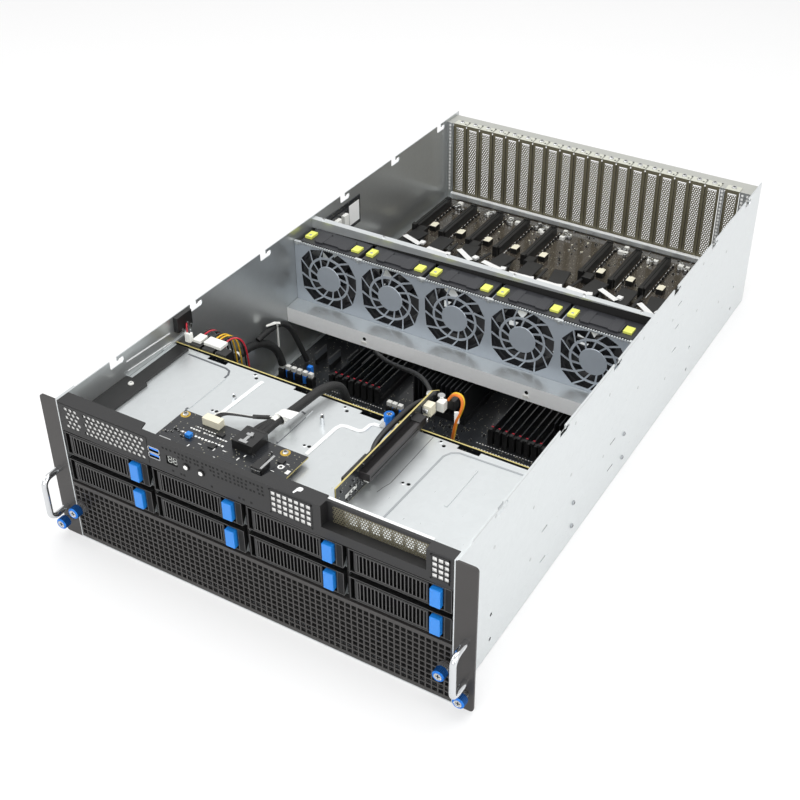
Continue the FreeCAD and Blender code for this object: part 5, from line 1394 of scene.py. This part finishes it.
class SERVER_OT_mainboard(bpy.types.Operator):
    """Adds memory marks, duct slats, sockets, chips and small parts on the main board"""
    bl_idname = "server.mainboard"
    bl_label = "Main board"

    def execute(self, context):
        seed = context.scene.server_sizes.seed
        top = MAIN_BOARD
        keep = [(-210, -30, 318, 340), (-140, -60, 320, 480), (70, 150, 320, 480),
                (-34, 42, 348, 440), (146, 220, 348, 440)]
        points = scattered(seed + 2, 420, (-202, 202), (240, 345), keep, top, 2.4)
        copies("mainboard_parts", CASE, part_shape(), points, "socket", "nickel")
        cans = scattered(seed + 3, 26, (-190, 200), (250, 318), keep, top, 1.2)
        copies("mainboard_cans", CASE, can_shape(2.6, 5.0), [
            at(*place) for place, *_ in cans], "nickel", "socket")
        chips = Shape()
        for x, y, wide, deep in ((-90, 270, 26, 26), (40, 262, 18, 18), (120, 285, 30, 22),
                                 (-20, 300, 14, 14), (180, 262, 12, 12)):
            chips.block(around(x, wide / 2), around(y, deep / 2), (top, top + 1.8))
        chips.ride("mainboard_chips", CASE, ["socket"], 0.3)
        for side, left in (("left", -130.7), ("right", 79.7)):
            for name, y, z, size, finish in (
                    ("memory", 408, 24, (1.2, 128, 12), "board"),
                    ("memory_latch", 337.5, 31.0, (4.6, 5, 3.0), "socket"),
                    ("memory_mark", 341.4, 31.6, (2.6, 1.2, 1.6), "red")):
                rows(f"{name}_{side}", CASE, (left, y, z), size, 8, (8.6, 0, 0), finish)
            rows(f"memory_dashes_{side}", CASE, (left - 14, 331.5, top + 0.1),
                 (1.7, 0.8, 0.2), 24, (3.6, 0, 0), "paper", 2, (0, -9, 0))
        # Each slat's pale top strip is a painted highlight.
        slats = Shape()
        for x, y in ((-178.4, 367.5), (-157.8, 367.4), (-138.7, 378.5), (-117.6, 378.7)):
            slats.block(around(x, 1), (y, y + 24), (17.5, 27))
            slats.block(around(x, 1.6), (y + 1, y + 23), (top, 17.5), 1)
            slats.block(around(x, 1.05), (y, y + 24), (26.4, 27.05), 2)
        slats.ride("board_slats", CASE, ["slate", "socket", "edge_line"])
        plugs = Shape()
        for x in [-199.1 + 8.2 * index for index in range(6)] + [-48, -41, -33.5]:
            plugs.block(around(x, 2.9), (326, 331.4), (22.6, 28.4))
            plugs.block(around(x, 2.4), (325.4, 331), (12, 22.6), 1)
        plugs.block((-176, -170), (345, 351), (top, 22), 1)
        plugs.ride("board_plugs", CASE, ["white", "usb"], 0.4)
        return {"FINISHED"}


class SERVER_OT_left_wall(bpy.types.Operator):
    """Adds the left wall's small boards, and the right wall's hem, rivets and screws"""
    bl_idname = "server.left_wall"
    bl_label = "Side walls"

    def execute(self, context):
        wall = LEFT_INSIDE
        shape = Shape()
        shape.block((wall, wall + 6.0), (171, 195), (155.5, 173.8), 2)
        for y, z in ((176, 154.2), (185, 158.0), (190, 153.4)):
            shape.block((wall + 5.6, wall + 7.2), (y, y + 2.2), (z, z + 4.5), 3)
        shape.block((wall, wall + 2), (150, 196), (143, 146), 5)
        shape.block((wall, wall + 1.4), (458, 536), (121, 160))
        shape.block((wall + 1.4, wall + 3), (470, 506), (127, 154))
        shape.block((wall + 3, wall + 8), (474, 484), (132, 150), 1)
        shape.block((wall + 3, wall + 8), (490, 500), (132, 150), 1)
        shape.block((wall + 1.4, wall + 1.7), (510, 533), (126, 154), 4)
        shape.ride("wall_boards", CASE, [
            "board", "white", "socket", "nickel", "paper", "sheet"], 0.3)
        # Outside, a hem line runs under the right wall's top, over slits and rivets.
        skin = (RIGHT_OUTSIDE, RIGHT_OUTSIDE + 0.16)
        hem = Shape().block(skin, (6, 392), (171.2, 172.1))
        for z in (63.6, 27.8):
            hem.block(skin, (339, 353), around(z, 0.5), 1)
        hem.ride("wall_hem", CASE, ["inner", "dark"])
        rivet = Shape().turned("z", (0, 0, 0), [(0, 0), (2.1, 0), (1.6, 0.35), (0, 0.4)],
                               sides=12)
        copies("wall_rivets", CASE, rivet, [
            at(RIGHT_OUTSIDE + 0.05, y, z, RIGHT) for y, z in (
                (70, 168), (70, 132), (150, 118), (150, 52), (236, 160), (236, 96),
                (322, 140), (322, 60), (408, 160), (408, 96), (500, 132), (500, 52),
                (590, 160), (590, 96), (680, 132), (680, 60))], "inner")
        copies("wall_screws", CASE, screw_shape(2.7), [
            at(RIGHT_OUTSIDE, y, z, RIGHT) for y, z in WALL_SCREWS], "step", "dark")
        return {"FINISHED"}


class SERVER_OT_card_bay(bpy.types.Operator):
    """Adds the slots' latches, grooves and lines, and the small parts in the card bay"""
    bl_idname = "server.card_bay"
    bl_label = "Card bay"

    def execute(self, context):
        seed = context.scene.server_sizes.seed
        top = CARD_BOARD
        trim = Shape()
        lines = Shape()
        for x in SLOTS:
            trim.block(around(x, 0.7), (650, 734), (69.95, 70.12), 1)
            trim.block(around(x, 3.2), (640, 646.5), (top, 73.5))
            trim.block(around(x, 3.0), (733, 738.2), (70, 71.5))
            lines.block((x + 6.6, x + 7.3), (644, 742), (top, top + 0.15))
            for index in range(9):
                y = 662 + 8.6 * index
                trim.block((x + 7.8, x + 10.6), (y, y + 3.4), (top, top + 2.8))
        trim.ride("slot_trim", CASE, ["socket", "dark"], 0.3)
        lines.ride("slot_lines", CASE, ["paper"])
        # Behind each slot stands a cluster of bright cans and pale chokes.
        chance = random.Random(seed + 6)
        cans, chokes = [], []
        for x in SLOTS:
            for index in range(7):
                spot = at(x + chance.uniform(13, 29), chance.uniform(727, 747), top,
                          grow=chance.uniform(0.85, 1.3))
                (cans if index % 3 else chokes).append(spot)
        choke = Shape().block((-2.8, 2.8), (-2.4, 2.4), (0, 4.0))
        copies("slot_cans", CASE, can_shape(2.5, 5.2), cans, "nickel", "socket")
        copies("slot_chokes", CASE, choke, chokes, "white")
        keep = [(x + low, x + high, near, far) for x in SLOTS
                for low, high, near, far in ((-7, 8, 640, 742), (12, 25, 655, 675))]
        points = scattered(seed + 4, 240, (-206, 206), (560, 755), keep, top, 1.8)
        copies("card_board_parts", CASE, part_shape(), points, "socket", "nickel")
        pale = scattered(seed + 5, 36, (-204, 204), (700, 754), keep, top, 1.6)
        copies("card_board_pale_parts", CASE, part_shape(2.4, 1.6, 1.2), pale,
               "cream", "nickel")
        pins = Shape()
        for x in SLOTS:
            pins.block((x + 17.0, x + 20.0), (671, 672.5), (60, 66.5), 1)
        pins.ride("socket_pins", CASE, ["dark", "cream"])
        return {"FINISHED"}


class SERVER_OT_blanks(bpy.types.Operator):
    """Fills the blanks' windows with finely pierced sheet and screws their tabs down"""
    bl_idname = "server.blanks"
    bl_label = "Slot blanks"

    def execute(self, context):
        sizes = context.scene.server_sizes
        pitch, hole = sizes.blank_pitch / MM, sizes.blank_hole / MM
        rise = pitch * HEX_RISE
        corner = ring_of(6, pitch / HEX_CORNER)
        # The holes have six sides, and 1.06 makes them about as open as round ones.
        ring = ring_of(6, hole / 2 * 1.06)
        cell = cell_shape(corner, ring, 0.2)
        points = []
        for x in BLANKS:
            for row in range(35):
                for column in range(4):
                    px = x + pitch * (column - 1.5 + 0.5 * (row % 2)) - pitch / 4
                    points.append(at(px, 763.6, 69.6 + rise * row))
        copies("blank_mesh", CASE, cell, points, "blanks")
        head = sizes.screw_head / MM / 2
        copies("blank_screws", CASE, screw_shape(head), [
            at(x, 771.5, TAB_TOP, grow=1.25) for x in BLANKS], "nickel", "dark")
        pit = Shape().rod("z", (0, 0, -0.02), 1.3, 0.1, sides=10)
        copies("rear_flange_holes", CASE, pit, [
            at(x + shift, y, TAB_TOP) for x in BLANKS for shift, y in ((6.5, 769), (9, 776))
            if x < 190], "dark")
        folds = Shape()
        for x in BLANKS:
            folds.block((x - 9.6, x - 9.2), (763.2, 764.05), (63, 168), 1)
            folds.block((x + 7.6, x + 8.1), (763.5, 764.05), (66, 168))
            if x < 160:
                folds.block((x + 8.2, x + 11.0), (763.3, 763.5), (67, 168))
        folds.ride("blank_folds", CASE, ["blanks", "socket"])
        # The rail that the blanks' feet drop behind, with a painted highlight along its
        # top, and pale spots painted as the light through the end columns.
        rail = Shape()
        rail.block((-209, 209), (757.5, 763.2), (60.5, 66.6))
        rail.block((-209, 209), (758.6, 763.2), (66.6, 67.3), 1)
        for x in BLANKS:
            rail.block(around(x, 0.5), (757.3, 757.6), (60.5, 66.6), 2)
        rail.ride("blank_rail", CASE, ["sheet", "ridge", "tab_plate"], 0.5)
        spot = Shape().rod("y", (0, 0, 0), 1.7, 0.2, sides=8)
        light = [at(x, 763.3, 70.5 + 5.1 * row) for x in (-213.4, 180.2, 206.6, 213.2)
                 for row in range(20)]
        copies("end_holes", CASE, spot, light, "paper")
        return {"FINISHED"}


class SERVER_OT_cables(bpy.types.Operator):
    """Lays the leads inside the case, with their ties, flags and plugs"""
    bl_idname = "server.cables"
    bl_label = "Cables"

    def execute(self, context):
        thin = context.scene.server_sizes.wire / MM
        black, red, yellow, orange, white, wire = range(6)
        finishes = ["sleeve", "red", "yellow", "orange", "white", "wire"]
        routes = [
            ([(-33, 104, 154), (-31.5, 122, 152.6), (-30, 142, 152.6), (-27, 166, 154),
              (-19, 187, 150), (-14, 192, 130), (-12, 194, 107)], 9.6, black),
            ([(-213.5, 196, 86), (-213.5, 226, 76), (-213.5, 262, 72), (-213.5, 296, 71),
              (-208, 318, 60), (-201, 327, 44), (-199, 328, 28)], 10.0, black),
            ([(-211, 300, 74), (-207, 330, 82), (-204, 352, 70), (-198, 362, 40),
              (-190, 366, 14)], 7.0, black),
            ([(78, 95, 161.5), (74.6, 104, 165), (74.4, 118, 168), (75, 140, 169),
              (75.4, 168, 168.4), (76.6, 192, 162), (77.6, 200, 156)], 6.0, wire),
            ([(-95, 372, 56), (-62, 340, 74), (-14, 300, 104), (30, 262, 134),
              (60, 232, 148), (74, 213, 151)], 5.0, wire)]
        for side in (-5.2, 0, 5.2):
            routes.append(([
                (-37 + side, 73.0, 155.8), (-37 + side, 82, 155.4),
                (-35.5 + side * 0.6, 94, 154.6), (-33.6 + side * 0.35, 105, 154),
                (-32.6 + side * 0.2, 112, 153.4)], 6.6, black))
        for index, (x, tint, reach) in enumerate((
                (-197.5, wire, 8), (-194.5, red, 10), (-191.5, wire, 12), (-183, wire, 9),
                (-178.6, yellow, 9), (-174.2, yellow, 11), (-169.8, wire, 13),
                (-165.4, red, 12))):
            routes.append(([
                (x, 189, 149), (x + 2.5, 196, 152.8), (x + reach * 0.8, 204, 150),
                (x + reach, 210, 132), (x + reach, 211, 97)], thin * 1.1, tint))
        for strand, tint in enumerate((red, wire)):
            px = -205 + 2.6 * strand
            routes.append(([(px, 176, 157), (px - 1, 177, 163), (px - 4, 181, 165),
                            (-212.6, 185 + 2 * strand, 160)], thin, tint))
        for strand, tint in enumerate((white, wire, wire, wire)):
            px = -90 + 2.3 * strand
            routes.append(([(px, 71, 156.4), (px, 78, 157.5), (px + 6, 88, 153),
                            (-60 + strand, 99, 149), (-46 + strand * 0.6, 104, 151),
                            (-38, 108, 152.6)], thin, tint))
        routes.append(([(-62, 98.5, 149.6), (-54, 101.4, 150), (-46, 104, 151.2)],
                       4.4, wire))
        for side, tint in enumerate((orange, yellow)):
            base = 203 + 2.6 * side
            routes.append(([(98, base, 163), (101.5, base, 170), (106, base, 172.6),
                            (112, base, 171.6), (115.4, base - 2, 165),
                            (113.6, base - 5, 155), (110, base - 8, 143),
                            (107, base - 8, 120)], thin * 1.7, tint))
        piece = wires("inside_leads", CASE, routes, finishes)
        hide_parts("internal_cables")
        ties = Shape()
        ties.turned("y", (-213.5, 262, 72.2), tube(5.1, 5.6, 3))
        ties.turned("y", (-35.9, 96, 153.8), tube(4.1, 4.7, 8))
        ties.turned("y", (-33.4, 103, 154), tube(5.6, 6.2, 9))
        # Blank flags hang from the leads: long strips that are folded over at one end.
        ties.slab([(-38.8, 103), (-35.5, 114.5), (-19.5, 117), (-20.5, 104)], 158.6,
                  158.9, material=1)
        ties.block((-204.8, -203.6), (329, 331.4), (40, 82))
        ties.slab([(-210, 316), (-203, 328), (-199, 330), (-202, 333), (-208, 330),
                   (-212, 319)], 84, 84.6)
        for x, y, turn in ((-180, 606, -0.37), (-136, 596, -0.1), (-100, 606, -0.6),
                           (-56, 599, -0.25), (-14, 595, 0.05), (25, 596, 0.0),
                           (66, 598, -0.09), (102, 609, -0.49), (156, 600, -0.66)):
            ties.block((x - 18, x + 14), around(y, 3.8), (70.6, 71.1), 1, turn)
            ties.block((x + 10, x + 17), (y - 3.0, y + 4.4), (69.0, 71.6), 1, turn + 0.4)
        ties.block((108.5, 113.6), (196, 198.4), (144, 157), 1, 0.5)
        ties.ride("lead_ties", CASE, ["white", "paper"])
        ribbons = Shape()
        for number in range(9):
            x = -190 + 44.0 * number
            turn = 0.16 * ((number % 3) - 1)
            ribbons.block(around(x, 11), (572, 638), (66.6, 69.0), 0, turn)
            ribbons.block(around(x, 12), (560, 575), (CARD_BOARD, 68.6), 0, turn)
            ribbons.block((x + 15, x + 19), (566, 636), (64.5, 66.5), 0, -turn)
        ribbons.ride("flat_leads", CASE, ["wire"], 0.5)
        ends = Shape()
        for number in range(4):
            x = FIRST_SLOT + SLOT_PITCH * (0.25 + 2 * number)
            ends.block(around(x, 6.5), (636, 650), (CARD_BOARD, 69))
            ends.block(around(x, 6.5), (556.5, 570), (CARD_BOARD, 68))
        ends.ride("lead_plugs", CASE, ["socket"], 0.4)
        return {"FINISHED"}


class SERVER_OT_rear(bpy.types.Operator):
    """Adds the power supplies' fan guards and latches, the rear mouths and screws"""
    bl_idname = "server.rear"
    bl_label = "Rear"

    def execute(self, context):
        for number, x in enumerate(SUPPLIES, 1):
            node = f"power_supply_{number}"
            body = body_under(node)
            guard = Shape()
            for radius in (6.0, 10.0, 14.0, 17.0):
                guard.turned("y", (x - 16, REAR_FACE + 0.1, 21.5),
                             tube(radius - 0.5, radius + 0.4, 0.9), sides=32)
            guard.block((x + 6.5, x + 34.5), (REAR_FACE, REAR_FACE + 0.4), (16, 19.5), 1)
            guard.ride(f"supply_guard_{number}", body, ["nickel", "latch"])
        ports = Shape()
        for index in range(4):
            x = 44 + 40 * index
            tall = 26 - 6 * (index % 2)
            ports.block((x + 2, x + 28), (794.0, 794.3), (13, 10.6 + tall - 2.5))
        ports.ride("rear_port_mouths", CASE, ["dark"])
        head = context.scene.server_sizes.screw_head / MM / 2
        copies("rear_screws", CASE, screw_shape(head), [
            at(x, REAR_FACE, z, BACK) for x, z in
            ((-214, 46), (14, 46), (30, 46), (214, 46), (14, 12), (214, 12))],
            "nickel", "dark")
        return {"FINISHED"}


class SERVER_OT_stage(bpy.types.Operator):
    """Makes the pale floor, the soft lights and the camera"""
    bl_idname = "server.stage"
    bl_label = "Stage"

    def execute(self, context):
        scene = context.scene
        reach = (-15000, 15000)
        data = Shape().block(reach, reach, (-21, -1)).mesh_data("floor")
        piece = placed("floor", data)
        # Plain studio paper that turns pure white where the camera or a gloss sees it.
        paper = Finish("white_studio_paper", linear("#F6F6F6"), roughness=0.9)
        paper.vary(paper.noise(40.0), 0.995, 1.0)
        tree = paper.tree
        path = add(tree, "ShaderNodeLightPath")
        seen = add(tree, "ShaderNodeMath", {"operation": "MAXIMUM"},
                   {0: path.outputs["Is Camera Ray"], 1: path.outputs["Is Glossy Ray"]})
        seen = add(tree, "ShaderNodeMath", {"operation": "MAXIMUM"},
                   {0: seen.outputs[0], 1: path.outputs["Is Transmission Ray"]})
        part = add(tree, "ShaderNodeMath", {"operation": "MULTIPLY", 1: 0.45},
                   {0: seen.outputs[0]})
        glow = add(tree, "ShaderNodeEmission", {"Color": (1, 1, 1, 1), "Strength": 1.0})
        mix = add(tree, "ShaderNodeMixShader",
                  links={0: part.outputs[0], 1: paper.shader.outputs[0],
                         2: glow.outputs[0]})
        out = next(node for node in tree.nodes if node.type == "OUTPUT_MATERIAL")
        tree.links.new(mix.outputs[0], out.inputs["Surface"])
        data.materials.append(paper.material)
        world = bpy.data.worlds.new("studio")
        scene.world = world
        world.use_nodes = True
        tree = world.node_tree
        tree.nodes.clear()
        path = add(tree, "ShaderNodeLightPath")
        # The strengths are what the camera sees, what a gloss mirrors, and what lights.
        shown, gloss, lit = [
            add(tree, "ShaderNodeBackground", {"Color": (1, 1, 1, 1), "Strength": strength})
            for strength in (1.0, 0.88, 0.55)]
        mix = add(tree, "ShaderNodeMixShader", links={
            0: path.outputs["Is Glossy Ray"], 1: lit.outputs[0], 2: gloss.outputs[0]})
        mix = add(tree, "ShaderNodeMixShader", links={
            0: path.outputs["Is Camera Ray"], 1: mix.outputs[0], 2: shown.outputs[0]})
        add(tree, "ShaderNodeOutputWorld", links={"Surface": mix.outputs[0]})
        for name, place, size, power in (
                ("top_softbox", (0.1, 0.5, 2.2), 2.0, 34.0),
                ("front_softbox", (0.3, -2.2, 1.2), 1.6, 20.0),
                ("left_softbox", (-2.0, -0.6, 1.3), 1.4, 12.0),
                ("right_softbox", (2.2, -0.6, 1.1), 1.6, 18.0)):
            light = bpy.data.lights.new(name, "AREA")
            light.size = size
            light.energy = power
            lamp = placed(name, light)
            lamp.location = place
            toward = Vector((0, 0.4, 0.05)) - Vector(place)
            lamp.rotation_mode = "QUATERNION"
            lamp.rotation_quaternion = toward.to_track_quat("-Z", "Y")
        # The camera stands where the photograph was taken from.
        across, up, roll = map(math.radians, (AZIMUTH, ELEVATION, ROLL))
        back = Vector((math.sin(across) * math.cos(up), -math.cos(across) * math.cos(up),
                       math.sin(up)))
        right = Vector((math.cos(across), math.sin(across), 0))
        high = right.cross(-back)
        tilted = right * math.cos(roll) + high * math.sin(roll)
        top = -right * math.sin(roll) + high * math.cos(roll)
        lens = bpy.data.cameras.new("camera")
        lens.sensor_width = SENSOR
        lens.lens = FOCAL * SENSOR / PICTURE
        lens.shift_x = (PICTURE / 2 - CENTRE[0]) / PICTURE
        lens.shift_y = (CENTRE[1] - PICTURE / 2) / PICTURE
        lens.clip_start, lens.clip_end = 0.05, 60
        camera = placed("camera", lens)
        turn = Matrix((tilted, top, back)).transposed().to_4x4()
        camera.matrix_world = Matrix.Translation(mm(*TARGET) + back * DISTANCE * MM) @ turn
        scene.camera = camera
        scene.view_settings.view_transform = "Standard"
        return {"FINISHED"}


STEPS = [SERVER_OT_finishes, SERVER_OT_grille, SERVER_OT_levers, SERVER_OT_knobs,
         SERVER_OT_front, SERVER_OT_deck, SERVER_OT_front_boards, SERVER_OT_fans,
         SERVER_OT_mainboard, SERVER_OT_left_wall, SERVER_OT_card_bay, SERVER_OT_blanks,
         SERVER_OT_cables, SERVER_OT_rear, SERVER_OT_stage]


class SERVER_PT_panel(bpy.types.Panel):
    """Lists the steps that make the server"""
    bl_idname = "SERVER_PT_panel"
    bl_label = "Server"
    bl_space_type = "VIEW_3D"
    bl_region_type = "UI"
    bl_category = "Server"

    def draw(self, context):
        layout = self.layout
        for step in STEPS:
            layout.operator(step.bl_idname)
        for settings in (context.scene.server_sizes, context.scene.server_colours):
            for name in settings.__annotations__:
                layout.prop(settings, name)


CLASSES = [ServerColours, ServerSizes, *STEPS, SERVER_PT_panel]


def register():
    """Registers the settings, the steps and the panel."""
    for item in CLASSES:
        bpy.utils.register_class(item)
    bpy.types.Scene.server_colours = bpy.props.PointerProperty(type=ServerColours)
    bpy.types.Scene.server_sizes = bpy.props.PointerProperty(type=ServerSizes)


def unregister():
    """Takes the settings, the steps and the panel away."""
    del bpy.types.Scene.server_sizes
    del bpy.types.Scene.server_colours
    for item in reversed(CLASSES):
        bpy.utils.unregister_class(item)


def main():
    """Runs every step in order."""
    register()
    for step in STEPS:
        group, name = step.bl_idname.split(".")
        result = getattr(getattr(bpy.ops, group), name)()
        if result != {"FINISHED"}:
            raise RuntimeError(f"{step.bl_label} stopped")
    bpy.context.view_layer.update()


if __name__ == "__main__":
    main()
